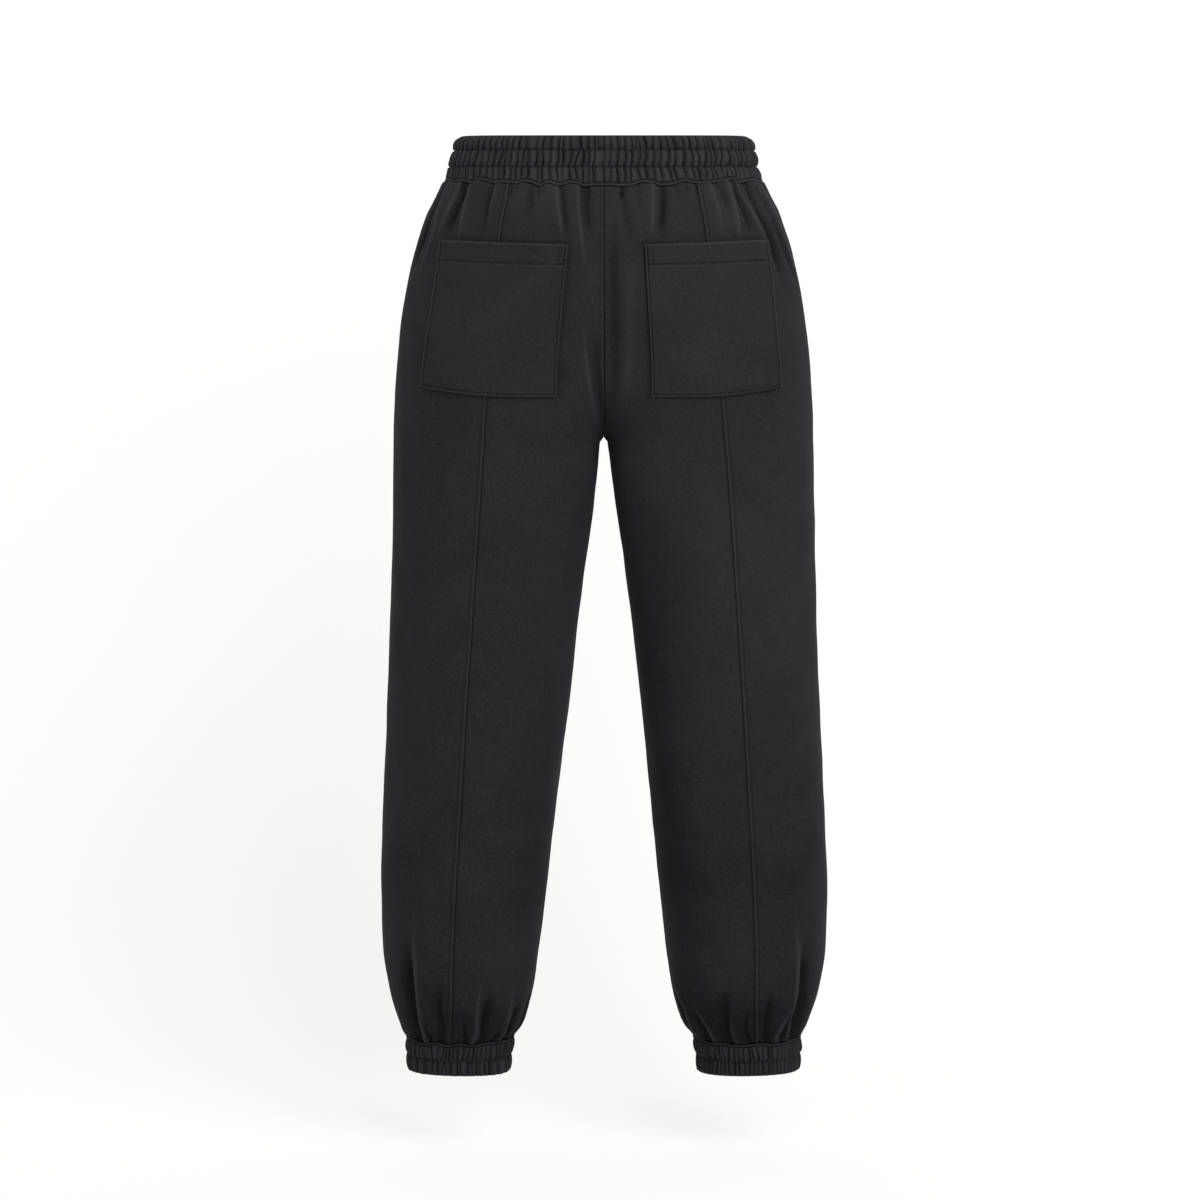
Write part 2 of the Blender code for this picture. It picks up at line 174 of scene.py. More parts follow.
# %% Hang the soft boxes
world = bpy.data.worlds.new("white_room")
world.use_nodes = True
set_inputs(world.node_tree.nodes["Background"], Color=(1.0, 1.0, 1.0, 1), Strength=0.32)
bpy.context.scene.world = world


def soft_box(name, place, aim, size, watts):
    light = bpy.data.lights.new(name, "AREA")
    light.shape, light.energy = "RECTANGLE", watts
    light.size, light.size_y = size
    box = add_object(name, light)
    box.location = place
    box.rotation_euler = (Vector(aim) - Vector(place)).to_track_quat("-Z", "Y").to_euler()


soft_box("key_right_of_camera", (1.7, -3.1, 2.1), (0, 0, -0.30), (2.8, 2.8), 166)
soft_box("fill_left", (-3.2, -1.7, 0.2), (0, 0, -0.4), (1.2, 2.4), 24)
view = bpy.context.scene.view_settings
view.view_transform, view.look = "Standard", "None"

# %% [markdown]
# ## The shape of the cloth without folds
#
# A tailor lays flat pieces round a body; here each half of the trousers is one smooth tube that joins its twin
# above the crotch. A place on a half is given by its "drop", how far it hangs below the waist seam, and by
# "along", the length of tape from the centre back round the side to the centre front. Below the crotch the tape
# starts and ends at the inseam. Scanning or sculpting would also work, but named sizes are easy to change.

# %% Sizes of the trousers
FLEECE = 2.2 * MM  # one layer of cloth
SEAM_GAP = 0.12 * MM  # between two pieces at their seam
CASING = 5.0 * MM  # from a casing's outer wall to its inner one
WAIST_SEAM_Z = -0.0245
CROTCH_DROP = 0.2675
ANKLE_DROP = 0.9120
SEAM_DIP, SEAM_DIP_ENDS = 6.5 * MM, 0.12  # how much lower the waist seam hangs in the middle, and down to which drop
SEAT_HEIGHT, SEAT_CURVE = 0.20, 0.75  # how high up the halves have joined, and how soon they do
CROTCH_TIP = (0.0031, 0.005, 0.012)  # how far the inner sides are drawn together there, and how low and wide
SQUARENESS, BRIDGE, BRIDGE_ENDS = 2.15, 1.3, 0.17  # 2 is an ellipse; what the inner sides have on top, and how low

# drop, outseam, inseam, furthest back, furthest front, seam down the middle of the back
SECTION_DROPS, *SECTION_SIDES, BACK_SEAM = np.array((
    (0.000, 0.1690, 0.0033, 0.1170, 0.1150, 0.0978),
    (0.015, 0.1766, 0.0033, 0.1240, 0.1190, 0.1003),
    (0.036, 0.1862, 0.0033, 0.1310, 0.1230, 0.1041),
    (0.079, 0.1996, 0.0033, 0.1410, 0.1280, 0.1095),
    (0.121, 0.2083, 0.0033, 0.1470, 0.1310, 0.1130),
    (0.164, 0.2143, 0.0033, 0.1490, 0.1320, 0.1165),
    (0.206, 0.2182, 0.0033, 0.1455, 0.1305, 0.1199),
    (0.249, 0.2202, 0.0033, 0.1375, 0.1265, 0.1235),
    (0.2675, 0.2207, 0.0033, 0.1335, 0.1243, 0.1250),
    (0.292, 0.2211, 0.0060, 0.1285, 0.1215, 0.1271),
    (0.335, 0.2222, 0.0118, 0.1205, 0.1165, 0.1304),
    (0.399, 0.2237, 0.0209, 0.1135, 0.1100, 0.1350),
    (0.485, 0.2266, 0.0320, 0.1050, 0.1030, 0.1410),
    (0.572, 0.2302, 0.0420, 0.0980, 0.0970, 0.1469),
    (0.658, 0.2344, 0.0512, 0.0940, 0.0910, 0.1520),
    (0.7455, 0.2369, 0.0609, 0.0910, 0.0850, 0.1570),
    (0.811, 0.2353, 0.0687, 0.0880, 0.0790, 0.1596),
    (0.855, 0.2289, 0.0755, 0.0810, 0.0700, 0.1604),
    (0.885, 0.2209, 0.0830, 0.0710, 0.0600, 0.1616),
    (0.912, 0.2114, 0.0958, 0.0560, 0.0460, 0.1628),
)).T


def clamp(value):
    return min(1.0, max(0.0, value))


def between(a, b, share):
    return a * (1 - share) + b * share


def unit(ways):
    return ways / np.linalg.norm(ways, axis=-1, keepdims=True)


def ease(t):
    """0 below 0, 1 above 1, and a soft step between."""
    t = np.clip(t, 0, 1)
    return t * t * (3 - 2 * t)


def ridge(d, middle, wide, sharp=2):
    """1 on a line and 0 away from it; a higher sharpness makes its top flat and its sides steep."""
    return np.exp(-(np.abs((d - middle) / wide) ** sharp))


def lengths(*axes):
    """How far along a line each of its points lies, from the points' coordinates."""
    return np.concatenate([[0], np.cumsum(np.sqrt(sum(np.diff(axis) ** 2 for axis in axes)))])


def smooth_through(xs, ys, x):
    """A curve through the points that has no corners and never overshoots them."""
    steps = np.diff(xs)
    slopes = np.diff(ys) / steps
    tangents = np.zeros(len(xs))
    same_way = slopes[:-1] * slopes[1:] > 0
    before, after = slopes[:-1][same_way], slopes[1:][same_way]
    tangents[1:-1][same_way] = 2 * before * after / (before + after)
    tangents[0], tangents[-1] = slopes[0], slopes[-1]
    i = np.clip(np.searchsorted(xs, x) - 1, 0, len(steps) - 1)
    t = (x - xs[i]) / steps[i]
    bend = (t**3 - 2 * t**2 + t) * tangents[i] + (t**3 - t**2) * tangents[i + 1]
    return between(ys[i], ys[i + 1], 3 * t**2 - 2 * t**3) + steps[i] * bend


def on_table(table, at):
    """A smooth curve through a table of (place, value), level beyond its ends."""
    places, values = np.array(table, float).T
    return smooth_through(places, values, np.clip(at, places[0], places[-1]))


print("sections at", len(SECTION_DROPS), "drops")

# %% Sections of one half
def seat_join(drop):
    """1 where both halves share one round section, 0 from the crotch down."""
    t = clamp((CROTCH_DROP - drop) / SEAT_HEIGHT)
    return ease(t) + SEAT_CURVE * SEAT_HEIGHT * (t**3 - 2 * t**2 + t)


@lru_cache(maxsize=None)
def section(drop):
    """Centre, half width and half depth of the half's section."""
    outer, inner, back, front = (float(smooth_through(SECTION_DROPS, row, drop)) for row in SECTION_SIDES)
    inner -= seat_join(drop) * outer
    return (outer + inner) / 2, (front - back) / 2, (outer - inner) / 2, (front + back) / 2


def power(value, exponent):
    return np.sign(value) * np.abs(value) ** exponent


def squareness(drop, inner_side):
    return SQUARENESS + inner_side * BRIDGE * (1 - ease((drop - CROTCH_DROP) / BRIDGE_ENDS))


@lru_cache(maxsize=None)
def outline(drop):
    """Points round the half at a drop and the tape's length to each."""
    cx, cy, half_width, half_depth = section(drop)
    turn = np.linspace(0, 2 * math.pi, 1441)
    exponent = squareness(drop, np.cos(turn) > 0)
    x = cx - half_width * power(np.cos(turn), 2 / exponent)
    y = cy - half_depth * power(np.sin(turn), 2 / exponent)
    pull, below, beside = CROTCH_TIP
    x -= pull * (1 - clamp((drop - CROTCH_DROP) / below)) ** 2 * ridge(x, cx - half_width, beside)
    edge = SEAM_GAP / 2
    kept = np.flatnonzero(x >= edge)
    ends = []
    for end, beyond in ((kept[0], kept[0] - 1), (kept[-1], kept[-1] + 1)):
        if 0 <= beyond < len(x):
            ends.append((edge, between(y[end], y[beyond], (x[end] - edge) / (x[end] - x[beyond]))))
        else:
            ends.append((x[end], y[end]))
    x, y = (np.concatenate([[ends[0][i]], line[kept], [ends[1][i]]]) for i, line in enumerate((x, y)))
    return x, y, lengths(x, y)


@lru_cache(maxsize=None)
def tape(drop):
    """Lengths of tape to the back seam, to the outseam and all the way round."""
    x, _, length = outline(drop)
    widest = int(np.argmax(x))
    seam = float(smooth_through(SECTION_DROPS, BACK_SEAM, drop))
    return float(np.interp(seam, x[:widest + 1], length[:widest + 1])), float(length[widest]), float(length[-1])


def on_half(along, drop):
    """Points on the right half's cloth and the directions straight out of it, at one drop."""
    x, y, length = outline(drop)
    px, py = np.interp(along, length, x), np.interp(along, length, y)
    h = 1e-4

    def form(d, qx, qy):
        cx, cy, half_width, half_depth = section(round(d, 6))
        e = squareness(d, qx < cx)
        return np.abs((qx - cx) / half_width) ** e + np.abs((qy - cy) / half_depth) ** e

    out = unit(np.stack([
        form(drop, px + h, py) - form(drop, px - h, py),
        form(drop, px, py + h) - form(drop, px, py - h),
        form(drop - h, px, py) - form(drop + h, px, py),
    ], -1))
    return np.stack([px, py, np.full_like(px, WAIST_SEAM_Z - drop)], -1), out


def on_cloth(along, drop):
    """The same for arrays of places, each with its own drop."""
    along, drop = np.broadcast_arrays(np.asarray(along, float), np.round(np.asarray(drop, float), 6))
    points, out = np.empty(along.shape + (3,)), np.empty(along.shape + (3,))
    for d in np.unique(drop):
        here = drop == d
        points[here], out[here] = on_half(along[here], float(d))
    return points, out


for drop in (0.0, CROTCH_DROP, ANKLE_DROP):
    print("tape round a half at drop", drop, "is", [round(v, 3) for v in tape(drop)])

# %% [markdown]
# ## How the two gathered seams wander
#
# Elastic pulls the cloth up between its folds, so the waist seam and the cuffs' seams aren't straight: they rise
# and fall by a few millimetres. The waistband and the panels share these numbers, so no gap opens between them.
# Each list holds places along the tape in millimetres and the rise there.

# %% Waves of the waist seam and the cuff seams
WAIST_WAVE = {
    -1: ((0, -1.2), (12, -1.2), (20, -2.6), (27, 0.8), (35, 1.9), (46, -1.4), (57, 1.7), (68, -2.2), (76, 1.4),
         (84, 2.4), (92, -0.4), (102, 0.5), (110, 0.8), (119, -0.9), (130, 2.0), (140, 2.9), (148, -2.1),
         (165, 0.6), (185, -1.6), (204, 0.8), (222, -1.2), (240, 1.0), (262, -1.6), (281, 1.7), (296, -0.8),
         (310, 1.9), (331, -1.8), (350, 1.2), (363, -0.6), (379, 2.2), (396, -2.0), (411, 1.0), (424, -1.3),
         (437, 0.6), (458, -1.2)),
    1: ((0, -1.2), (8, -0.9), (16, -2.0), (29, -1.0), (42, 2.6), (50, 2.0), (59, -1.8), (70, -1.4), (86, 2.6),
        (95, 0.3), (109, -1.0), (121, 0.4), (135, 2.2), (145, 2.6), (155, -1.9), (172, -0.1), (182, 0.3),
        (195, -2.6), (213, 0.9), (229, -0.8), (247, 1.6), (265, -1.2), (277, 0.9), (299, -2.1), (318, 1.8),
        (333, -0.4), (349, 2.0), (366, -1.9), (384, 1.1), (398, -1.0), (417, 1.9), (433, -1.6), (446, 0.2),
        (458, -1.2)),
}
CUFF_WAVE = {
    -1: ((0, 0.4), (18, -1.2), (38, 0.2), (55, 0.8), (74, -2.2), (85, 1.6), (98, -1.6), (112, 1.8), (130, -1.6),
         (139, 0.0), (149, 2.0), (168, -0.4), (190, 1.2), (212, -1.4), (234, 0.9), (257, -1.7), (279, 1.5),
         (303, -1.1), (322, 0.8), (347, 0.4)),
    1: ((0, -0.3), (28, 0.4), (43, -1.0), (59, 0.8), (70, -1.6), (86, -1.0), (99, 1.4), (113, -1.0), (123, -1.4),
        (135, 0.9), (150, 1.5), (170, -0.9), (194, 1.4), (215, -1.6), (239, 0.6), (261, -1.2), (284, 1.3),
        (306, -0.8), (326, 1.1), (347, -0.3)),
}
WAIST_SHARE, WAIST_LIFT = 0.85, 2.7  # how much of the listed rises is used, and what is added to them, in mm
CUFF_SHARE, CUFF_LIFT = 0.65, 4.2
WAVE_REACH = 0.018


def waist_rise(side, along):
    return (on_table(WAIST_WAVE[side], along / MM) * WAIST_SHARE + WAIST_LIFT) * MM


def cuff_rise(side, along):
    return (on_table(CUFF_WAVE[side], along / MM) * CUFF_SHARE + CUFF_LIFT) * MM


def seam_dip(y, drop):
    """How much lower the cloth hangs in the middle of back and front than at the side."""
    _, cy, _, half_depth = section(0.0)
    return SEAM_DIP * ((y - cy) / half_depth) ** 2 * np.clip(1 - drop / SEAM_DIP_ENDS, 0, 1) ** 2


def lowered(side, along, drop, y):
    """How far a panel's point moves down, so that its ends follow the waist seam and the cuff's seam."""
    down = seam_dip(y, drop) - waist_rise(side, along) * (1 - ease(drop / WAVE_REACH))
    return down - cuff_rise(side, along) * (1 - ease((ANKLE_DROP - drop) / WAVE_REACH))


print("waist seam wanders by", max(v for _, v in WAIST_WAVE[-1]), "mm at most")

# %% [markdown]
# ## Creases
#
# Gathered fleece doesn't ripple evenly. A fold is flat on its inner side, rises to a thin crest and falls steeply
# into a dark trough. A simulation would give even waves, so each crease is given as a line with its own height,
# its own width on either side and its own length. A negative height is a trough. The tape lengths and drops of
# the points are in millimetres.

# %% Creases under the waistband
# height, width towards the centre back, width towards the side, then the line's points
LEFT_WAIST = (
    (1.9, 6, 2.2, (189, 0), (195, 17), (198, 44), (208, 70), (227, 104)),
    (2.3, 1.6, 4, (165, 0), (171, 14), (179, 30), (193, 64)),
    (-6.2, 7, 8, (158, 0), (162, 14), (168, 28), (177, 62)),
    (2.4, 8, 1.4, (149, 0), (152, 14), (155, 30), (160, 64)),
    (-3.2, 2.2, 5, (119, 0), (123, 16), (126, 30), (130, 56)),
    (0.9, 6, 2.0, (114, 0), (119, 16), (123, 45)),
    (-2.8, 4, 5, (76, 0), (77, 17), (80, 36)),
    (-2.8, 1.6, 2.2, (68, 0), (67, 12)),
    (1.3, 1.6, 5, (48, 0), (46, 22), (41, 60)),
    (-3.2, 4, 1.8, (44, 0), (42, 22), (37, 60)),
    (1.3, 1.6, 4, (26, 0), (25, 25), (22, 55), (19, 95)),
    (-3.8, 5, 4, (20, 0), (18, 28), (14, 62)),
    (-3.6, 1.6, 1.8, (16, 0), (15, 13)),
    (-2.0, 2.5, 3, (97, 0), (99, 14)),
    (-1.6, 2, 3, (105, 0), (107, 11)),
    (-5.6, 4, 9, (202, 4), (208, 20), (215, 34), (220, 50), (234, 77), (246, 100)),
)
RIGHT_WAIST = (
    (-3.8, 1.8, 2.0, (19, 0), (18, 14)),
    (-2.0, 4, 5, (18, 6), (24, 38), (28, 64)),
    (-1.6, 3, 4, (36, 0), (37, 28)),
    (1.4, 5, 1.6, (51, 0), (51, 25), (48, 62)),
    (-4.6, 3.4, 4, (61, 0), (61, 14), (58, 60)),
    (-1.8, 2.4, 4, (73, 0), (81, 16)),
    (-1.8, 2, 3, (86, 0), (86, 12)),
    (-2.0, 2.5, 3, (97, 0), (98, 13)),
    (1.2, 6, 2.0, (112, 0), (117, 11), (121, 24), (125, 54)),
    (-2.9, 2, 7, (119, 0), (129, 16), (135, 36)),
    (2.9, 8, 1.3, (137, 0), (140, 14), (142.5, 28), (148.5, 66)),
    (-5.2, 2.4, 8, (142, 0), (148, 14), (153, 28), (163, 60)),
    (2.7, 4, 1.4, (147, 0), (155, 12), (164, 27), (185, 66)),
    (-6.0, 3.5, 8, (162, 0), (171, 17), (179, 33), (189, 49), (197, 75), (209, 122)),
    (2.1, 2.0, 6, (188, 0), (198, 15), (208, 33), (218, 52), (229, 74), (245, 96), (265, 116)),
    (-2.4, 6, 3, (182, 6), (192, 18), (202, 36), (212, 54), (223, 76), (237, 98), (256, 118)),
    (-3.6, 6, 11, (205, 0), (226, 20), (241, 40), (256, 68)),
)
LEFT_SEAT = (
    (-3.0, 5, 5, (10, 140), (8, 187), (5, 224), (2, 256)),
    (1.0, 1.8, 5, (21, 140), (18.5, 170), (15, 205), (11, 252)),
    (-1.6, 9, 9, (47, 184), (37, 214)),
)
RIGHT_SEAT = (
    (-3.2, 5, 7, (8, 10), (9, 110), (10, 172), (7, 250)),
    (0.5, 8, 14, (24, 60), (26, 150), (20, 240)),
)
print("waist creases", len(LEFT_WAIST) + len(RIGHT_WAIST))

# %% Creases above the cuffs
LEFT_ANKLE = (
    (-6.5, 3.0, 12, (198, 772), (191, 803), (186, 820), (181, 836), (171, 860), (156, 885), (139, 903), (130, 914)),
    (2.1, 7, 1.6, (190, 762), (184, 803), (179, 820), (175, 836), (166, 860), (151, 885), (134, 903), (125, 914)),
    (-3.0, 1.8, 2.4, (147, 882), (134, 896), (123, 904), (116, 914)),
    (-3.6, 2.2, 5, (145, 830), (143, 847), (135, 869), (113, 900), (104, 914)),
    (-3.8, 1.8, 2.2, (108, 876), (93, 897), (84, 905), (78, 914)),
    (-4.0, 2.0, 5, (180, 846), (165, 872), (153, 888), (138, 902), (128, 914)),
    (1.5, 1.6, 5, (103, 830), (100, 856), (92, 878), (78, 902), (71, 914)),
    (-4.4, 5.5, 2.2, (95, 836), (92, 850), (85, 881), (72, 901), (64, 914)),
    (1.5, 1.6, 5, (61, 834), (60, 853), (56, 877), (42, 906), (38, 914)),
    (-2.8, 2.2, 2.2, (61, 888), (53, 904), (49, 914)),
    (-4.4, 5, 2.4, (50, 852), (48, 870), (45, 888), (38, 904), (33, 914)),
    (1.3, 5, 4, (192, 886), (172, 902), (158, 914)),
    (-3.6, 3, 5, (20, 850), (18, 880), (17, 914)),
)
RIGHT_ANKLE = (
    (2.1, 1.6, 7, (26, 836), (31, 858), (38, 874), (31, 901), (26, 914)),
    (-4.6, 5, 2.2, (22, 850), (26, 865), (31, 879), (22, 902), (17, 914)),
    (1.5, 1.6, 5, (55, 858), (58, 871), (61, 888), (53, 906), (49, 914)),
    (-4.0, 5, 2, (52, 864), (54, 877), (54, 891), (46, 906), (42, 914)),
    (-4.6, 6, 2.6, (105, 834), (101, 847), (90, 876), (75, 902), (69, 914)),
    (1.0, 2, 4, (98, 868), (88, 888), (78, 906), (74, 914)),
    (-3.6, 2, 2.2, (116, 866), (95, 902), (89, 914)),
    (-4.2, 2.6, 6, (148, 836), (145, 849), (130, 878), (113, 900), (104, 914)),
    (1.5, 5, 1.6, (165, 858), (162, 867), (141, 889), (123, 904), (116, 914)),
    (-3.6, 1.8, 4, (168, 862), (162, 874), (147, 890), (131, 902), (122, 914)),
    (2.3, 7, 1.6, (190, 756), (189, 798), (186, 814), (181, 836), (168, 870), (144, 902), (133, 914)),
    (-6.5, 3.0, 11, (200, 775), (196, 798), (192, 814), (187, 836), (174, 870), (150, 902), (138, 914)),
    (-4.0, 2.0, 5, (182, 842), (170, 868), (156, 887), (143, 901), (133, 914)),
)
print("cuff creases", len(LEFT_ANKLE) + len(RIGHT_ANKLE))

# %% [markdown]
# The fronts are gathered by the same elastic, so they get creases of the same kind. Nobody sees them in a picture
# from behind, and still they aren't a mirror of the back: every line of the other hand's back is moved, made
# longer or shorter and made deeper or shallower by its own amount. Those lines are measured from the centre front.

# %% Creases of the fronts, and the pull lines between the folds
FRONT_ENDS = 215  # mm of tape from the centre front, past which a front has no creases


def for_the_front(rows, seed, held):
    """The creases of a back, changed one by one. held is the index of the point at the seam."""
    dice = np.random.default_rng(seed)
    changed = []
    for height, inner, outer, *points in rows:
        shift, stretch = dice.uniform(-6, 6), dice.uniform(0.8, 1.25)
        start = points[held][1]
        moved = [(a + shift, start + (d - start) * stretch) for a, d in points if a + shift < FRONT_ENDS]
        if len(moved) > 1:
            changed.append((height * dice.uniform(0.8, 1.15), inner, outer, *moved))
    return tuple(changed)


FRONT_CREASES = {
    -1: (for_the_front(RIGHT_WAIST, 4, 0), for_the_front(RIGHT_ANKLE, 7, -1)),
    1: (for_the_front(LEFT_WAIST, 5, 0), for_the_front(LEFT_ANKLE, 8, -1)),
}
BACK_CREASES = {-1: (LEFT_WAIST, LEFT_ANKLE, LEFT_SEAT), 1: (RIGHT_WAIST, RIGHT_ANKLE, RIGHT_SEAT)}
print("front creases", [[len(rows) for rows in groups] for groups in FRONT_CREASES.values()])


def fade(kind, s):
    """How strong a crease is along its length: waist folds die out downwards, cuff folds upwards."""
    if kind == 0:
        return 1 - ease((s - 0.50) / 0.50)
    if kind == 1:
        return ease(s / 0.50)
    return ease(s / 0.35) * (1 - ease((s - 0.70) / 0.30))


def smooth_line(points, count=18):
    """More points on a smooth line through the given ones."""
    points = np.array(points, float)
    length = lengths(*points.T)
    at = np.linspace(0, length[-1], count)
    return np.stack([smooth_through(length, column, at) for column in points.T], -1)


@lru_cache(maxsize=None)
def crease_lines(side):
    """All creases of a half as lines in space: kind, height, widths, points, outward directions."""
    lines = []
    groups = [(kind, front, rows) for front, table in enumerate((BACK_CREASES, FRONT_CREASES))
              for kind, rows in enumerate(table[side])]
    for kind, front, rows in groups:
        for height, inner, outer, *points in rows:
            along, asked = smooth_line(points).T * MM
            drop = np.clip(asked, 0, ANKLE_DROP)
            if front:
                along = np.array([tape(round(float(d), 6))[2] for d in drop]) - along
            place, out = on_cloth(along, drop)
            place[:, 2] -= asked - drop
            lines.append((kind, height * MM, inner * MM, outer * MM, place, -out if front else out))
    return lines


TROUGH_DEPTH, DEEPEST = 1.25, 9 * MM  # what a trough's height is multiplied by, and what no trough goes beyond
# crests are coloured lighter, partly as wear and partly as painted highlight, and troughs darker as painted shade
CREST_WEAR_AND_HIGHLIGHT, TROUGH_PAINTED_SHADE = 0.74, 0.16  # for each mm of height


def crease_heights(side, points):
    """How far each point of a half stands out and lies in because of its creases, and its colour's tone: crests
    lighter as wear and painted highlight, troughs darker as painted shade.
    """
    up, down, tone = np.zeros((3, len(points)))
    for kind, height, inner, outer, path, out in crease_lines(side):
        reach = 5.5 * max(inner, outer)
        near = np.flatnonzero(np.all((points > path.min(0) - reach) & (points < path.max(0) + reach), axis=1))
        if not len(near):
            continue
        best = np.full(len(near), 1e9)
        across, share = np.zeros((2, len(near)))
        for i, run in enumerate(np.diff(path, axis=0)):
            from_start = points[near] - path[i]
            t = np.clip(from_start @ run / (run @ run), 0, 1)
            gap = from_start - t[:, None] * run
            far = np.einsum("ij,ij->i", gap, gap)
            closer = far < best
            best[closer] = far[closer]
            across[closer] = gap[closer] @ np.cross(out[i], run)
            share[closer] = (i + t[closer]) / (len(path) - 1)
        distance = np.sqrt(best)
        width = np.where(across > 0, outer, inner)
        tip = 0.35 * width
        strength = height * fade(kind, share)
        lift = strength * np.exp(-(np.sqrt(distance**2 + tip**2) - tip) / (0.62 * width))
        if height > 0:
            up[near] += lift
            # painted highlight and wear: a thin line along the crest is coloured lighter
            tone[near] += CREST_WEAR_AND_HIGHLIGHT * strength / MM * ridge(distance, 0, tip + 0.7 * MM)
        else:
            down[near] -= lift * TROUGH_DEPTH
            # painted shade: the trough is coloured darker
            tone[near] += TROUGH_PAINTED_SHADE * strength / MM * ridge(distance, 0, 1.05 * width)
    return up, DEEPEST * np.tanh(down / DEEPEST), tone


print("lines on the left half", len(crease_lines(-1)), "and on the right", len(crease_lines(1)))

# %% [markdown]
# ## Slack
#
# Between the folds heavy fleece still isn't taut. It swells and sinks by less than a millimetre over a hand's
# width, which breaks up the light on the legs. A few long waves in fixed directions, added up, do this well; a
# noise pattern in the material alone would leave the outline ruler-straight. The legs also hang a little fuller than
# the plain form, each in its own way.

# %% Long soft waves
def slack_waves(seed, count, shortest, longest, amount):
    dice = np.random.default_rng(seed)
    lengths = np.exp(dice.uniform(math.log(shortest), math.log(longest), count))
    turn, lean = dice.uniform(0, 2 * math.pi, count), dice.uniform(-0.9, 0.9, count)
    ways = np.stack([np.cos(turn) * np.cos(lean), np.sin(turn) * np.cos(lean), np.sin(lean)], -1)
    return ways * (2 * math.pi / lengths)[:, None], dice.uniform(0, 2 * math.pi, count), amount / math.sqrt(count)


BROAD, FINE = slack_waves(21, 14, 0.09, 0.26, 0.8 * MM), slack_waves(22, 18, 0.03, 0.07, 0.3 * MM)


SWELL = {  # how much fuller than the plain form the cloth hangs: outer half and inner half, each as (drop, mm)
    -1: (((0, 1.0), (0.03, 1.0), (0.06, 0.3), (0.12, 1.0), (0.185, 2.3), (0.25, 1.7), (0.31, 1.2), (0.45, 1.0),
          (0.50, 1.3), (0.56, 2.0), (0.62, 2.1), (0.70, 1.3), (0.81, 1.2), (0.87, 0.3), (0.912, 0)),
         ((0.08, 0), (0.12, 0.8), (0.20, 1.0), (0.265, -0.4), (0.30, 0.9), (0.35, 1.8), (0.40, 1.9), (0.50, 1.4),
          (0.60, 1.8), (0.66, 1.4), (0.73, -0.2), (0.81, -0.3), (0.87, -0.5), (0.912, 0))),
    1: (((0, 1.5), (0.04, 1.2), (0.08, 0.4), (0.12, 0.1), (0.17, 0), (0.25, 0.9), (0.29, 2.3), (0.33, 2.4),
         (0.39, 1.9), (0.48, 0.9), (0.60, 0.3), (0.68, 0.8), (0.79, 2.9), (0.83, 2.6), (0.87, 1.0), (0.912, 0)),
        ((0.12, 0), (0.265, -0.9), (0.31, -0.6), (0.35, -0.7), (0.39, -1.2), (0.477, -1.2), (0.52, -0.6), (0.60, -0.1),
         (0.64, 0), (0.686, 0.7), (0.73, 2.0), (0.81, 2.0), (0.87, 0.8), (0.912, 0))),
}

HIP_SIDE, HIP_BLEND = 0.07, 0.10  # x from which the outer half's fullness comes in, and over what width


def slack(side, points):
    inner_outer = (on_table(row, WAIST_SEAM_Z - points[:, 2]) for row in SWELL[side][::-1])
    total = between(*inner_outer, ease((points[:, 0] - HIP_SIDE) / HIP_BLEND)) * MM
    for ways, starts, amount in (BROAD, FINE):
        total += amount * np.sin((points * np.array((side, 1, 1))) @ ways.T + starts).sum(1)
    return total


print("slack at the knee", round(float(slack(1, np.array([[0.12, -0.1, -0.5]]))[0] / MM), 2), "mm")

# %% [markdown]
# ## Where the patch pockets lie
#
# The pockets' corners are needed before the panels, because the folds die out underneath a patch that is sewn
# down all round. A pocket's own ruler runs across from its inner edge and down from its mouth.

# %% Pocket corners and the panels' calm places under them
POCKET_CORNERS = {  # tape from the centre back and drop: top inner, top outer, bottom inner, bottom outer
    -1: np.array(((35.5, 63), (184, 59.5), (49.6, 219), (198, 211))) * MM,
    1: np.array(((40.6, 63), (183.5, 59.5), (50, 220), (193.5, 211))) * MM,
}
POCKET_BOW = 0.0037  # how far the bottom edge hangs through in its middle
POCKET_WIDE, POCKET_TALL = 0.147, 0.156
POCKET_LIE = 0.7 * MM  # added to a pocket's height, so that it lies clear of the seams under it


def bow(across):
    return POCKET_BOW * 4 * across * (1 - across)


def pocket_place(side, across, down):
    """Tape length and drop of a place on the pocket, from its fractions across and down."""
    a, d = across[..., None], down[..., None]
    top_inner, top_outer, low_inner, low_outer = POCKET_CORNERS[side]
    place = between(between(top_inner, top_outer, a), between(low_inner, low_outer, a), d)
    return place[..., 0], np.round(place[..., 1] + bow(across) * down, 6)


def under_pocket(side, along, drop):
    """How far inside the pocket's edges a place of the back lies, in metres; negative outside."""
    top_inner, top_outer, low_inner, low_outer = POCKET_CORNERS[side]
    inner = along - np.interp(drop, (top_inner[1], low_inner[1]), (top_inner[0], low_inner[0]))
    outer = np.interp(drop, (top_outer[1], low_outer[1]), (top_outer[0], low_outer[0])) - along
    across = np.clip(inner / np.maximum(inner + outer, 1e-6), 0, 1)
    top = drop - between(top_inner[1], top_outer[1], across)
    low = between(low_inner[1], low_outer[1], across) + bow(across) - drop
    return np.minimum(np.minimum(inner, outer), np.minimum(top * 0.7, low))


for side in POCKET_CORNERS:
    (left, right), _ = pocket_place(side, np.array((0, 1)), np.array((0.5, 0.5)))
    print("pocket is", round(float(right - left), 4), "m wide")

# %% [markdown]
# ## The panels
#
# Each half has three pieces: an inner back, an outer back and a front. The seam down the middle of the back is
# pressed to one side and topstitched, so a narrow welt stands up next to the seam line. A panel starts as a flat
# grid whose columns crowd together near its seams, because the welt and its stitched groove are only a few
# millimetres wide. Its points are then laid on the half's form, and Solidify gives the cloth its thickness.

# %% Rows, columns and the seams' small relief
def ruler(*stretches):
    """Places from one end to the other: each stretch is (from, to, step)."""
    places = [np.arange(a, b - step / 2, step) for a, b, step in stretches]
    return np.round(np.concatenate(places + [[stretches[-1][1]]]), 6)


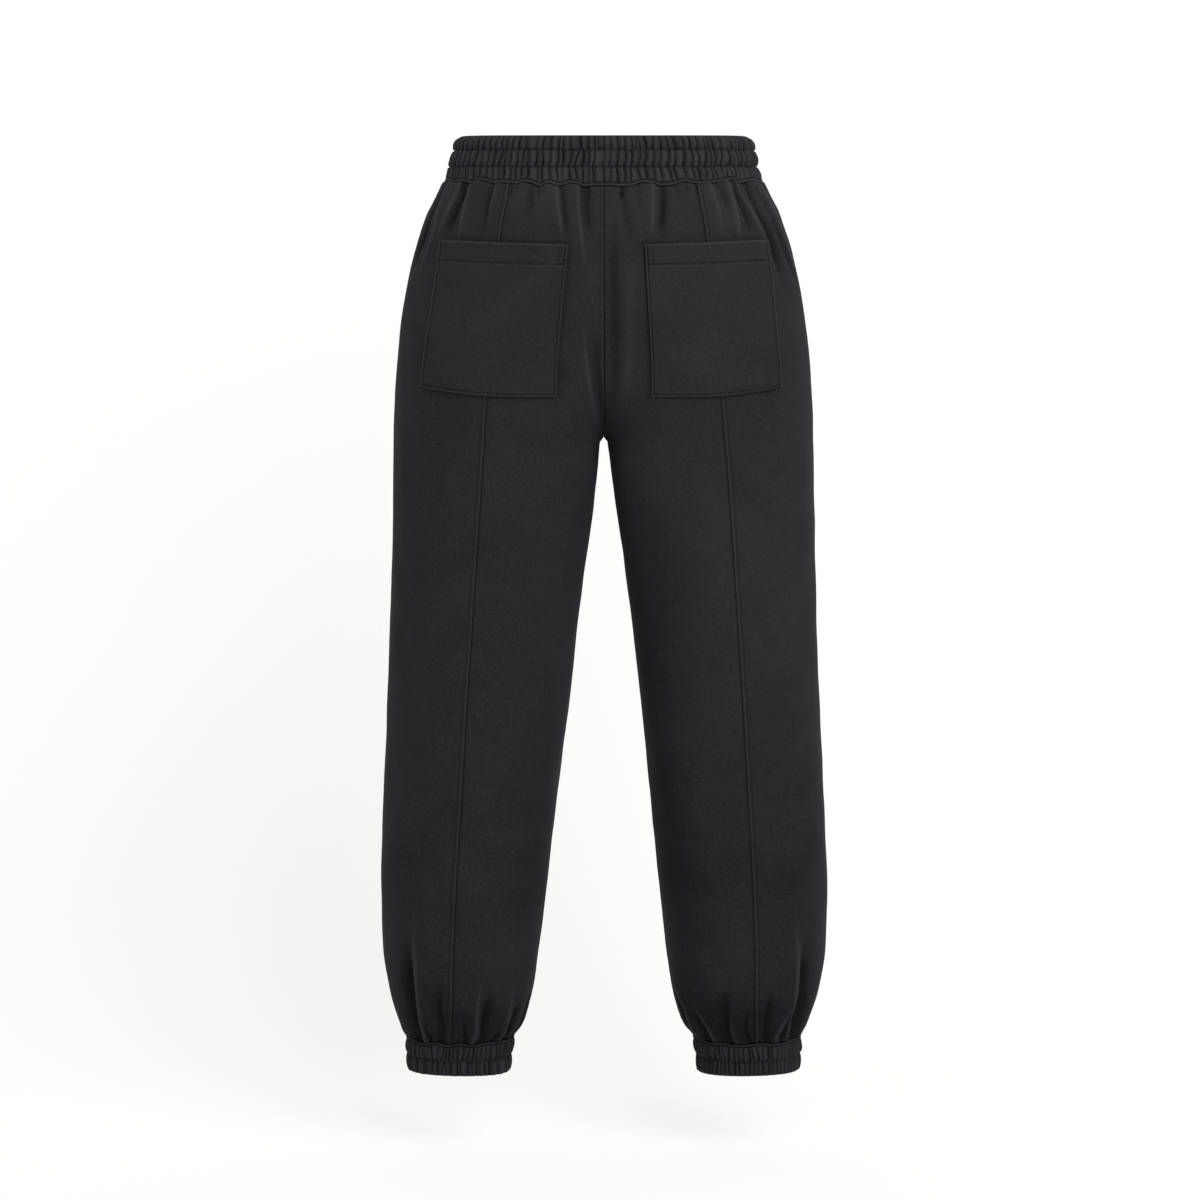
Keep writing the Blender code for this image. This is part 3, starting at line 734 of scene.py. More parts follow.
TUCKED_IN = 0.0025  # what goes up inside the casings at both ends
DROPS = ruler((-TUCKED_IN, 0, 0.00125), (0, 0.008, 0.001), (0.008, 0.120, 0.002), (0.120, 0.240, 0.005),
              (0.240, 0.276, 0.002), (0.276, 0.798, 0.009), (0.798, 0.904, 0.002), (0.904, 0.912, 0.001),
              (0.912, 0.912 + TUCKED_IN, 0.00125))
NEAR_SEAM = np.array((0, 0.5, 1.0, 1.6, 2.2, 2.8, 3.3, 3.8, 4.2, 4.6, 5.2, 6.4)) * MM
PANEL_COLUMNS = {"back_inner": 76, "back_outer": 122, "front": 46}
SEAM_MOVES = {  # drop, and how far the back seam lies nearer the centre back than on the plain solids, in mm
    -1: ((0, 1.2), (0.045, 0.9), (0.10, 1.5), (0.23, 2.3), (0.33, 3.2), (0.58, 3.2), (0.70, 2.7), (0.80, 2.2),
         (0.86, 1.8), (0.912, 1.2)),
    1: ((0, 2.6), (0.045, 2.8), (0.12, 2.2), (0.23, 1.7), (0.33, 0.8), (0.60, 0.7), (0.75, 1.1), (0.86, 2.0),
        (0.912, 2.0)),
}


def welt(d, high=0.9, middle=1.9, stitched=4.2):
    """The folded seam allowance beside a seam, and the topstitched groove that holds it down, all in mm."""
    d = d / MM
    return (high * ridge(d, middle, 1.15, 4) - 0.9 * ridge(d, stitched, 0.55) - 0.9 * np.exp(-d / 0.4)) * MM


def dip(d, deep=0.9, wide=0.8):
    """Cloth that turns in at a plain seam."""
    return -deep * MM * np.exp(-(d / MM / wide))


MIDDLE_STITCH, BACK_STITCH = 3.4, 4.2  # mm from the seams down the middle of the body and of the back leg


def middle_seam(d, drop, stitched):
    """The seam down the middle of the body, which becomes the plain inseam below the crotch."""
    at_seat = 1 - ease((drop - CROTCH_DROP + 0.015) / 0.03)
    return between(dip(d, 0.6, 0.9), welt(d, 0.6, 1.5, MIDDLE_STITCH) if stitched else dip(d, 1.2, 0.8), at_seat)


def seam_relief(side, kind, drop, first, last):
    """Height of the seam details at each point of a panel, from the tape's distance to its edges."""
    if kind == "back_inner":
        return middle_seam(first, drop, side < 0) + dip(last)
    if kind == "back_outer":
        return welt(first, stitched=BACK_STITCH) + dip(last, 0.7, 0.9)
    return dip(first, 0.7, 0.9) + middle_seam(last, drop, side > 0)


def pucker(along, drop, first, last):
    """Tiny pulls beside the seams, every centimetre or so."""
    wave = np.sin(drop / 0.0093 * 2 * math.pi + 2.1 * np.sin(drop * 61)) + np.sin(drop / 0.0141 * 2 * math.pi)
    near = np.exp(-first / (5 * MM)) + np.exp(-last / (5 * MM))
    return 0.10 * MM * wave * near


print(len(DROPS), "rows from waist to ankle")

# %% Lay a panel on its half
def panel_ends(side, kind, drop):
    drop = round(float(np.clip(drop, 0, ANKLE_DROP)), 6)
    seam, outseam, whole = tape(drop)
    seam -= float(on_table(SEAM_MOVES[side], drop)) * MM
    half_gap = SEAM_GAP / 2
    return {
        "back_inner": (0.0, seam - half_gap),
        "back_outer": (seam + half_gap, outseam - half_gap),
        "front": (outseam + half_gap, whole),
    }[kind]


def painted_light_and_shade(side, along, drop, turned, inside):
    """Painted light and shade on the large parts of a panel: how much lighter, or with a minus darker, they are
    coloured.
    """
    # All of it is painted light and shade: lighter below the waistband and on the billow over the cuff; darker from
    # the knee down, in the gathers above the cuff, at the side of hip and thigh that turns from the light, in a
    # painted shadow line round each pocket and on one inner thigh; lighter on the right hand's outer half above the
    # knee and darker on the left hand's.
    tone = 0.35 * (1 - ease(drop / 0.07))  # below the waistband
    tone -= 0.38 * ease((drop - 0.42) / 0.45)  # from the knee down
    tone += 0.28 * ridge(drop, 0.80, 0.035)  # where the leg billows over the cuff
    tone -= 0.30 * ease((drop - 0.84) / 0.04)  # in the gathers under it
    tone -= 0.35 * ease((turned - 0.75) / 0.25) * (1 - ease((drop - 0.45) / 0.20))  # at the hip's and thigh's side
    tone += side * 0.14 * ridge(drop, 0.42, 0.16) * ease((along - 0.10) / 0.06)  # on the outer half above the knee
    tone -= 0.30 * ridge(inside / MM, -1.4, 1.8)  # close round a pocket
    if side > 0:  # on the inner half of one thigh
        tone -= 0.30 * np.exp(-((along / 0.05) ** 2) - ((drop - 0.32) / 0.09) ** 2)
        tone -= 0.22 * ridge(along, 0, 0.10) * ease((drop - 0.30) / 0.08)
    return tone


POCKET_CALM = 0.013  # how far inside a pocket's edge the folds have died out
TUCK_DEEP, TUCK_REACH = 2.2 * MM, 1.1 * MM  # how a panel turns in at both ends, to lie under its casing
SWELL_REACH, GATHER_REACH, GATHER_LEFT = 0.03, 0.009, 0.40  # slack and folds are held near a casing
# raised welts are coloured lighter, as wear and painted highlight, and seam grooves darker, as painted shade, for each
# mm of relief
RELIEF_LIGHT_AND_WEAR = 0.50  # for each mm


def cloth_surface(side, kind, along, drop):
    """Points of a panel's outer face, the way out of it, and its painted light and wear, all on the right-hand form.
    """
    shape = along.shape
    along, asked = along.ravel(), np.broadcast_to(drop, shape).ravel()
    drop = np.clip(asked, 0, ANKLE_DROP)
    base, out = on_cloth(along, drop)
    rows, row = np.unique(drop, return_inverse=True)
    start, end = np.array([panel_ends(side, kind, d) for d in rows])[row].T
    first, last, to_cuff = along - start, end - along, ANKLE_DROP - drop
    inside = under_pocket(side, along, drop) if kind != "front" else np.full(len(along), -1.0)
    up, down, tone = crease_heights(side, base)
    folds = (up - down) * (1 - ease(inside / POCKET_CALM))
    for d in (drop, to_cuff):
        folds *= between(GATHER_LEFT, 1, ease(d / GATHER_REACH))
    relief = seam_relief(side, kind, drop, first, last) + pucker(along, drop, first, last)
    relief = np.where(inside > 0, np.minimum(relief, 0.3 * MM), relief) * (1 - 0.6 * ease(inside / 0.004))
    tucked = -TUCK_DEEP * (np.exp(-drop / TUCK_REACH) + np.exp(-to_cuff / TUCK_REACH))
    swell = slack(side, base) * ease(drop / SWELL_REACH) * ease(to_cuff / SWELL_REACH)
    shift = out * (folds + relief + tucked + swell)[:, None]
    if kind != "back_outer":  # above the crotch both halves meet at the middle, so nothing moves sideways there
        to_middle = ease((first if kind == "back_inner" else last) / 0.016)
        shift[:, 0] *= 1 - (1 - to_middle) * (1 - ease((drop - CROTCH_DROP) / 0.010))
    points = base + shift
    points[:, 2] -= lowered(side, along, drop, base[:, 1]) + asked - drop
    # the colour's tone adds up the creases', the large parts' and the seams' painted light and shade, with wear on the
    # raised places
    painted_light_and_wear = np.clip(tone + painted_light_and_shade(side, along, drop, out[:, 0], inside) + RELIEF_LIGHT_AND_WEAR * relief / MM, -1, 1)
    return points.reshape(shape + (3,)), out.reshape(shape + (3,)), painted_light_and_wear.reshape(shape)


def grid_mesh(name, points, way_out, painted_light_and_wear, across, down):
    """A grid from the operator, laid on points[row, column], with its own UV ruler in metres."""
    rows, columns = painted_light_and_wear.shape
    bm = bmesh.new()
    bmesh.ops.create_grid(bm, x_segments=columns - 1, y_segments=rows - 1, size=0.5)
    mesh = mesh_from(bm, name)
    flat = np.empty(len(mesh.vertices) * 3)
    mesh.vertices.foreach_get("co", flat)
    x, y, _ = flat.reshape(-1, 3).T
    here = np.rint((0.5 - y) * (rows - 1)).astype(int), np.rint((x + 0.5) * (columns - 1)).astype(int)
    mesh.vertices.foreach_set("co", points[here].ravel())
    corner = np.empty(len(mesh.loops), int)
    mesh.loops.foreach_get("vertex_index", corner)
    marks = np.stack([across[here], down[here]], -1)[corner]
    mesh.uv_layers.new(name="cloth_ruler").data.foreach_set("uv", marks.ravel())
    mesh.attributes.new("painted_light_and_wear", "FLOAT", "POINT").data.foreach_set("value", painted_light_and_wear[here].ravel())
    mesh.update()
    face = mesh.polygons[len(mesh.polygons) // 2]
    if np.dot(face.normal, way_out[here][face.vertices[0]]) < 0:
        mesh.flip_normals()
    return mesh


HANDS = {"left": -1, "right": 1}
MIRROR = {-1: np.array((-1, 1, 1)), 1: np.array((1, 1, 1))}
pieces = {}


def sew(node, side, thickness, surface, across, down):
    """A cloth from its surface on the right-hand form, with its thickness."""
    points, out, painted_light_and_wear = surface
    name = f"{node}_cloth"
    mesh = grid_mesh(name, points * MIRROR[side], out * MIRROR[side], painted_light_and_wear, across, down)
    piece = pieces[node] = add_piece(name, mesh)
    wall = piece.modifiers.new("cloth thickness", "SOLIDIFY")
    wall.thickness, wall.offset = thickness, -1
    print(name, len(mesh.polygons), "faces,", round(sum(p.area for p in mesh.polygons), 4), "m2 of cloth")


def sew_panel(kind, hand):
    side, margin = HANDS[hand], NEAR_SEAM[-1]
    rows = []
    for d in DROPS:
        a, b = panel_ends(side, kind, d)
        middle = np.linspace(a + margin, b - margin, PANEL_COLUMNS[kind])[1:-1]
        rows.append(np.concatenate([a + NEAR_SEAM, middle, b - NEAR_SEAM[::-1]]))
    along = np.array(rows)
    drop = np.repeat(DROPS[:, None], along.shape[1], axis=1)
    surface = cloth_surface(side, kind, along, drop)
    sew(f"{kind}_{hand}", side, FLEECE, surface, along - along.mean(1, keepdims=True), -drop)


for hand in HANDS:
    for kind in PANEL_COLUMNS:
        sew_panel(kind, hand)

# %% [markdown]
# ## Gathered casings: the waistband and the cuffs
#
# A casing is a tunnel of fleece with elastic inside. Rows of stitches part it into channels, and the elastic
# gathers each channel into small upright ruffles: rounded tops with narrow dark creases between them. They are
# unevenly wide, lean a little, and don't line up from channel to channel. A wave pattern would look like
# corrugated card, so the creases' places are dealt out one by one from a fixed seed.
#
# The casing is a grid again: round the body one way, and up the outer wall, over the fold and down the inner wall
# the other way. Its ends are merged, so the tunnel is closed.

# %% Ruffles of one channel
STITCHED_ON = 0.8  # the share of creases that go on into the next channel


def deal_creases(dice, whole, mean):
    """Places round a casing at which its cloth is creased, in metres, from the centre back and back to it."""
    widths = []
    while sum(widths) < whole - mean * 0.6:
        widths.append(mean * float(np.clip(dice.lognormal(-0.03, 0.25), 0.55, 1.7)))
    return np.concatenate([[0], np.cumsum(np.array(widths) * whole / sum(widths))])


def neighbour_creases(dice, creases, whole, mean):
    """The next channel's creases: most go on through the stitches, some end there and some begin."""
    moved = creases + dice.uniform(-0.8, 0.8, len(creases)) * MM
    stay = dice.random(len(moved)) < STITCHED_ON
    stay[[0, -1]] = True
    begun = [dice.uniform(0, whole) for _ in range(int((1 - STITCHED_ON) * len(creases)))]
    moved = np.sort(np.clip([*moved[stay], *begun], 0, whole))
    moved = moved[np.concatenate([[True], np.diff(moved) > 0.42 * mean])]
    moved[0], moved[-1] = 0, whole
    wide = np.flatnonzero(np.diff(moved) > 1.8 * mean)
    added = (moved[wide] + moved[wide + 1]) / 2 + dice.uniform(-1, 1, len(wide)) * MM
    return np.sort(np.concatenate([moved, added]))


def ruffle(creases, dice_rows, around, share):
    """Height and tone of the ruffles at the places around, at a share of the way up their channel. The tone is a
    random paleness for each ruffle, with painted highlight on its rounded top and painted shade in its creases.
    """
    lean, depth, pale, skew, ending = dice_rows
    at = creases + lean[:len(creases)] * (share - 0.5)
    at[0], at[-1] = creases[0], creases[-1]
    i = np.clip(np.searchsorted(at, around, side="right") - 1, 0, len(at) - 2)
    wide = at[i + 1] - at[i]
    t = np.clip((around - at[i]) / wide, 0, 1)
    bulge = np.sin(math.pi * t ** skew[i])
    round_top = bulge ** 0.8 * np.clip(wide / (7 * MM), 0.55, 1.4) * 1.7
    nearest = np.where(t < 0.5, i, i + 1)
    deep = depth[nearest] * np.clip(1 + ending[nearest] * (share - 0.5) * 2, 0.15, 1.6)
    crease = deep * ridge(np.minimum(t, 1 - t) * wide, 0, MM)
    # painted highlight on the rounded tops, painted shade in the creases
    return (round_top - 0.35 - 1.2 * crease) * MM, pale[i] + 1.15 * (bulge ** 0.9 - 0.52) - 0.50 * crease


print("a channel of the waistband has about", len(deal_creases(np.random.default_rng(3), 0.915, 7.2 * MM)), "creases")

# %% Roll a casing
# a casing's lines: height above its seam, how far it hangs through at back and front, how far it lies inside the
# waist's or the ankle's section, and how far it is moved to the wearer's right, all in mm
BAND_LINES = (
    (0.3, 6.5, 0.8, 0), (9.0, 4.4, 3.6, 0.4), (17.0, 3.0, 5.3, -0.7), (25.2, 2.4, 6.9, 0.7), (33.8, 2.2, 9.3, 0.6),
    (41.5, 2.8, 11.2, 0.5), (45.0, 2.5, 13.4, 0.4), (48.3, 2.0, 18.0, 0.3),
)
BAND_STITCHES = (17.0, 33.8)
CUFF_LINES = ((0.3, 0, 0.4, 0), (7.5, 0, 1.1, 0), (14.5, 0, 2.4, 0), (23.6, -0.6, 3.2, 0), (32.0, -1.4, 3.7, 0))
CUFF_STITCHES = (14.5,)
CUFF_LEAN = 1.3 * MM  # how far a cuff's lower end stands towards the outside of the leg
LIP = 1.8  # the turned edge that shows at the seam, in mm


def casing_rows(top, stitches):
    """Heights of the outer wall's rows, closer together at the lip and at the stitch lines."""
    heights = [0.3, 0.6, 1.0, 1.4, 1.8, 2.2, 2.6, 3.0, 3.5, 4.1]
    while heights[-1] < top - 1.2:
        near = min(abs(heights[-1] + 0.4 - s) for s in stitches)
        heights.append(heights[-1] + (0.5 if near < 1.5 else 1.25))
    return heights + [top - 0.5]


def casing_shape(seed, lines, stitches, centre, half_width, half_depth, mean, **looks):
    """Everything that a casing's points are worked out from.

    The looks are up, 1 for the waistband and -1 for a cuff; join, how clearly the centre back seam shows; contrast
    of the ruffles' painted light and shade; paler, the painted light that each channel and last the
    lip have on top, with a minus painted shade; and lean in metres.
    """
    turn = np.linspace(0, 2 * math.pi, 2881)
    xs = half_width * power(np.sin(turn), 2 / SQUARENESS)
    ys = -half_depth * power(np.cos(turn), 2 / SQUARENESS)
    length = lengths(xs, ys)
    whole = length[-1]
    dice = np.random.default_rng(seed)
    channels = []
    creases = deal_creases(dice, whole, mean)
    for _ in range(len(stitches) + 1):
        count = len(creases) + 200
        channels.append((creases, (
            dice.normal(0, 1.8 * MM, count), dice.uniform(0.2, 1.35, count), dice.normal(0, 0.15, count),
            dice.uniform(0.65, 1.55, count), dice.uniform(-1, 1, count),
        )))
        creases = neighbour_creases(dice, creases, whole, mean)
    return SimpleNamespace(xs=xs, ys=ys, length=length, whole=whole, lines=np.array(lines, float).T, top=lines[-1][0],
                           stitches=stitches, centre=np.array(centre), half_width=half_width, half_depth=half_depth,
                           channels=channels, **looks)


def casing_relief(shape, around, height):
    """How far the outer wall stands out at one height, and its tone, mostly painted light and shade: lip, channels,
    ruffles and stitches.
    """
    bounds = (LIP + 0.8,) + shape.stitches + (shape.top + 1.5,)
    channel = int(np.clip(np.searchsorted(bounds, height) - 1, 0, len(shape.channels) - 1))
    share = clamp((height - bounds[channel]) / (bounds[channel + 1] - bounds[channel]))
    pull = 0.30 + 0.70 * math.sin(math.pi * share) ** 0.55
    from_join = np.minimum(around, shape.whole - around)
    calm = (0.75 if channel == 1 else 0.45) * ridge(from_join, 0, 6.5 * MM, 4) * shape.join
    above_lip = float(ease((height - LIP) / 2.2))
    relief, tone = ruffle(*shape.channels[channel], around, share)
    relief = relief * pull * (1 - calm) * above_lip + 0.8 * MM * (math.sin(math.pi * share) ** 0.7 - 0.4)
    tone = between(tone * shape.contrast, 0.25, calm) * above_lip
    for line in shape.stitches:
        relief = relief - (0.9 * MM + 0.40 * relief) * ridge(height, line, 0.85)
        # painted shade in the pinch of each stitch line, reaching further into the channel above it
        tone = tone - 0.75 * math.exp(-abs(height - line) / (2.4 if height > line else 1.0))
    lip, groove = ridge(height, 0.45 * LIP, 0.55 * LIP, 4), ridge(height, LIP + 0.6, 0.5)
    join = shape.join * ridge(from_join, 0, 0.45 * MM)
    # each channel's painted light, darker on the cuffs, a painted highlight on the lip, and painted shade in the
    # groove above the lip and along the centre back seam
    tone = tone + between(shape.paler[channel], shape.paler[-1], lip) - 0.8 * groove - 0.7 * join
    return relief + (lip - groove - 0.9 * join) * MM, tone


def casing_point(shape, around, height, relief, inner=0.0):
    """Points of the wall at one height, without the seam's wave, and the way out."""
    x, y = (np.interp(around, shape.length, line) for line in (shape.xs, shape.ys))
    level = np.zeros_like(x)
    out = unit(np.stack([power(x / shape.half_width, SQUARENESS - 1) / shape.half_width,
                         power(y / shape.half_depth, SQUARENESS - 1) / shape.half_depth, level], -1))
    heights, *rows = shape.lines
    at = min(max(height, heights[0]), heights[-1])
    dip_here, inset, shift = (float(smooth_through(heights, row, at)) * MM for row in rows)
    points = np.stack([x, y, level], -1) + out * (relief - inset - inner)[..., None]
    lean = shape.lean * ease(height / 14)
    points[..., 0] += lean + shift
    dip_here = dip_here * (y / shape.half_depth) ** 2 - 0.7 * lean * x / shape.half_width
    points[..., 2] = shape.up * height * MM - dip_here
    return points + shape.centre, out


print("waistband rows", len(casing_rows(BAND_LINES[-1][0], BAND_STITCHES)))

# %% Make the waistband and the cuffs
FOLD_ROWS, INNER_ROWS = 6, 9
WAVE_FROM, WAVE_FADES = 2.0, 9.0  # mm above the seam, where its wave begins to fade, and over what height


def roll_casing(node, shape, columns, wave):
    """The closed tunnel: up the outer wall, over the fold and down the inner wall. wave gives the seam's rise."""
    around = np.linspace(0, shape.whole, columns)
    fold, bottom = shape.top - 0.5, shape.lines[0][0]
    rows = []  # height, relief, how far inside the outer wall, tone, place on the ruler
    for h in casing_rows(shape.top, shape.stitches):
        relief, tone = casing_relief(shape, around, h)
        rows.append((h, relief, 0.0, tone, h))
    for turn in np.linspace(0, math.pi, FOLD_ROWS + 2)[1:-1]:
        fall = (1 - math.cos(turn)) / 2
        rows.append((fold + 1.1 * math.sin(turn), relief * (1 - fall), CASING * fall, tone * (1 - fall),
                     shape.top + 5 * fall))
    for h in np.linspace(fold, bottom, INNER_ROWS):
        inner_relief, tone = casing_relief(shape, shape.whole - around, h)
        rows.append((h, -0.5 * inner_relief, CASING, tone, 2 * shape.top - h + 5))
    rows.append((*rows[0][:4], 0.0))
    points, ways = [], []
    for height, relief, inner, _, _ in rows:
        place, out = casing_point(shape, around, height, relief, inner)
        place[..., 2] += wave(around) * (1 - ease((height - WAVE_FROM) / WAVE_FADES))
        points.append(place)
        ways.append(out)
    painted_light_and_wear = np.clip([row[3] for row in rows], -1, 1)
    down = np.repeat([[row[4] * MM] for row in rows], columns, axis=1)
    across = np.repeat(around[None, :], len(rows), axis=0)
    mesh = grid_mesh(f"{node}_cloth", *(np.array(part)[::-1] for part in (points, ways, painted_light_and_wear, across, down)))
    bm = bmesh.new()
    bm.from_mesh(mesh)
    bmesh.ops.remove_doubles(bm, verts=bm.verts[:], dist=1e-6)
    bmesh.ops.recalc_face_normals(bm, faces=bm.faces[:])
    if bm.calc_volume(signed=True) < 0:
        bmesh.ops.reverse_faces(bm, faces=bm.faces[:])
    print(node, len(bm.faces), "faces, open edges:", sum(e.is_boundary for e in bm.edges))
    bm.to_mesh(mesh)
    bm.free()
    pieces[node] = add_piece(f"{node}_cloth", mesh)


_, BAND_CY, *BAND_HALVES = section(0.0)
# painted light: the band's channels are coloured lighter where light from above falls on them, the lowest most, and
# the lip most of all as a painted highlight
BAND = casing_shape(31, BAND_LINES, BAND_STITCHES, (0, BAND_CY, WAIST_SEAM_Z), *BAND_HALVES, 7.3 * MM, up=1,
                    join=1.0, contrast=1.0, paler=(0.40, 0.26, 0.16, 1.0), lean=0.0)
CUFF_CX, CUFF_CY, *CUFF_HALVES = section(ANKLE_DROP)
# painted shade: the cuffs' channels are coloured darker, low down where less light reaches, and their lip a little
# lighter as a painted highlight
CUFFS = {
    side: casing_shape(40 + side, CUFF_LINES, CUFF_STITCHES, (side * CUFF_CX, CUFF_CY, WAIST_SEAM_Z - ANKLE_DROP),
                       *CUFF_HALVES, 5.4 * MM, up=-1, join=0.0, contrast=0.75, paler=(-0.14, -0.14, 0.25),
                       lean=side * CUFF_LEAN)
    for side in MIRROR
}


def band_wave(around):
    """The waist seam's rise, from the places round the band: first the right half, then the left."""
    whole, half = BAND.whole, tape(0.0)[2]
    right, left = around * half / (whole / 2), (whole - around) * half / (whole / 2)
    return np.where(around < whole / 2, waist_rise(1, right), waist_rise(-1, left))


def cuff_wave(side):
    """A cuff's places start at the middle of its back; the panels' tape starts at the inseam."""
    whole = CUFFS[side].whole
    return lambda around: cuff_rise(side, ((around if side > 0 else whole - around) + whole / 4) % whole)


roll_casing("waistband", BAND, 1401, band_wave)
for hand, side in HANDS.items():
    roll_casing(f"cuff_{hand}", CUFFS[side], 521, cuff_wave(side))

# %% [markdown]
# ## Patch pockets
#
# A patch pocket is one piece of fleece with its edges turned under, topstitched round three sides. Its mouth is
# turned in as a deeper hem and stitched across, so it is a layer thicker there. Between edge and stitches the
# turned allowance makes a small puffed rim. The grid is laid on the back's form, and the relief comes from the
# distance to each edge, measured in the pocket's own millimetres.

# %% Pocket relief
FROM_EDGE = np.array((0, 0.4, 0.8, 1.3, 1.8, 2.3, 2.7, 3.1, 3.6, 4.4, 5.6)) * MM
POCKET_ACROSS = np.concatenate([FROM_EDGE, ruler((0.0070, 0.0092, 0.0006), (0.0106, 0.1402, 0.0018)),
                                POCKET_WIDE - FROM_EDGE[::-1]])
POCKET_DOWN = np.concatenate([FROM_EDGE, ruler((0.0072, 0.0180, 0.0014), (0.0188, 0.0256, 0.0006),
                                               (0.0272, 0.1490, 0.0018)), POCKET_TALL - FROM_EDGE[::-1]])
HEM_STITCH = 21.8  # mm below the mouth
RIM_STITCH = 2.9  # mm from the three sewn edges
BOX = (3.1, 8.3)  # mm from the inner edge: two rows of stitches at the hem's inner end


def pocket_relief(across, down):
    """Height of the pocket's outer face above the back, and its painted light and shade, from millimetres across and
    down.
    """
    w, t = POCKET_WIDE / MM, POCKET_TALL / MM
    side = np.minimum(across, w - across)
    rim = np.minimum(side, t - down)
    edge = np.minimum(rim, down)
    in_hem = 1 - ease((down - HEM_STITCH) / 1.2)
    puff = ridge(rim, 1.3, 0.95, 4)
    mouth = ridge(down, 1.3, 1.2, 4) * ease((side - 0.5) / 1.5)
    sewn = ridge(rim, RIM_STITCH, 0.55) * (1 - 0.4 * in_hem)
    hem = ridge(down, HEM_STITCH, 0.8) * ease((side - 1.5) / 1.5)
    below = ridge(down, HEM_STITCH + 2.2, 1.0) * ease((side - 2) / 3)
    box = (ridge(across, BOX[0], 0.6) + ridge(across, BOX[1], 0.7)) * in_hem * ease((down - 1.5) / 1.5)
    height = 2.2 * (1 - 0.7 * np.exp(-edge / 0.5)) + 0.8 * in_hem * (1 - 0.5 * np.exp(-side / 1.2))
    height += 0.5 * puff + 0.4 * mouth - 1.0 * sewn - 0.9 * hem + 0.4 * below - 0.8 * box
    pull = np.sin(across / 4.6 * 2 * math.pi) + np.sin(across / 6.7 * 2 * math.pi + 1)
    height += 0.16 * pull * np.exp(-np.abs(down - HEM_STITCH) / 6)
    pull = np.sin(down / 5.1 * 2 * math.pi) + np.sin(down / 7.9 * 2 * math.pi + 2)
    height += 0.14 * pull * np.exp(-np.abs(side - RIM_STITCH) / 5)
    # painted highlight on the puffed rim, the mouth, below the hem stitches and along the outer edge; painted shade in
    # the stitched grooves and the box, and a painted shadow line along every edge
    shade = 0.55 * puff + 1.0 * mouth - 1.0 * sewn - 0.95 * hem + 0.40 * below - 0.9 * box
    shade += 0.5 * ridge(w - across, 1.6, 1.4, 4) - 0.7 * ridge(w - across, 4.2, 1.1)
    return height * MM, shade - 1.6 * ridge(edge, 0, 0.6)


def pocket_surface(side, across, down):
    """Points of the pocket's outer face on the right-hand form, the way out and the painted light and shade."""
    along, drop = pocket_place(side, across / POCKET_WIDE, down / POCKET_TALL)
    base, out = on_cloth(along, drop)
    relief, shade = pocket_relief(across / MM, down / MM)
    swell = slack(side, base.reshape(-1, 3)).reshape(along.shape)
    points = base + out * (POCKET_LIE + relief + swell)[..., None]
    points[..., 2] -= seam_dip(base[..., 1], drop)
    return points, out, np.clip(shade, -1, 1)


for hand, side in HANDS.items():
    across, down = np.meshgrid(POCKET_ACROSS, POCKET_DOWN)
    surface = pocket_surface(side, across, down)
    sew(f"pocket_{hand}", side, FLEECE * 0.62, surface, across - POCKET_WIDE / 2, -down)

# %% [markdown]
# ## Stitches
#
# Each topstitch is a short bead of thread that sinks into its groove. A tube along the whole seam would look like
# piping, so every stitch is its own small ball, stretched along the seam; twenty faces are enough for each,
# because there are a few thousand of them.

# %% Beads of thread
PITCH, BEAD_LONG, BEAD_THICK = 3.1 * MM, 1.15 * MM, 0.32 * MM
BEAD_LIFT = 0.35 * BEAD_THICK  # how far a bead's middle stands out of its groove
stitches = {}


def evenly(points, ways):
    """Places every PITCH along a line in space, with the direction of the line and the way out."""
    length = lengths(*points.T)
    at = np.arange(PITCH / 2, length[-1], PITCH)

    def read(values, places):
        return np.stack([np.interp(places, length, column) for column in values.T], -1)

    here = read(points, at)
    return here, read(points, at + 0.3 * MM) - here, read(ways, at)


def stitch_runs(node, name, *runs):
    """One mesh of beads along all the runs, each given as points and ways out, for the cloth of a node."""
    bm = bmesh.new()
    size = Matrix.Diagonal((BEAD_LONG, BEAD_THICK, BEAD_THICK, 1))
    count = 0
    for points, ways in runs:
        for here, along, out in zip(*evenly(points, ways)):
            if np.linalg.norm(along) < 1e-7:
                continue
            x = Vector(along).normalized()
            y = Vector(out).normalized().cross(x).normalized()
            z = x.cross(y)
            place = Matrix.Translation(Vector(here) + z * BEAD_LIFT) @ Matrix((x, y, z)).transposed().to_4x4() @ size
            bmesh.ops.create_icosphere(bm, subdivisions=1, radius=1.0, matrix=place)
            count += 1
    print(name, count, "stitches")
    stitches[node] = add_piece(f"{name}_stitches", mesh_from(bm, f"{name}_stitches"))


def mirrored(side, points, out, _):
    return points * MIRROR[side], out * MIRROR[side]


def panel_run(side, kind, offset, drops, from_last=False):
    """Topstitching at a distance in mm from a panel's first or last edge."""
    first, last = np.array([panel_ends(side, kind, d) for d in drops]).T
    along = last - offset * MM if from_last else first + offset * MM
    return mirrored(side, *cloth_surface(side, kind, along, drops))


def casing_run(shape, height):
    around = np.linspace(0, shape.whole, 1200)
    return casing_point(shape, around, height, casing_relief(shape, around, height)[0])


def pocket_runs(side):
    """The rows of a pocket, each from one place to another in mm across and down."""
    w, t = POCKET_WIDE / MM, POCKET_TALL / MM
    rim, hem, top, (box_in, box_out) = RIM_STITCH, HEM_STITCH, 2.2, BOX
    rows = (
        ((rim, hem + 1), (rim, t - rim)), ((w - rim, 1.5), (w - rim, t - rim)), ((rim, t - rim), (w - rim, t - rim)),
        ((box_in, hem), (w - 3.0, hem)), ((box_in, top), (box_in, hem)), ((box_out, top), (box_out, hem)),
        ((box_in, top), (box_out, top)),
    )
    return [mirrored(side, *pocket_surface(side, *np.linspace(start, end, 60).T * MM)) for start, end in rows]


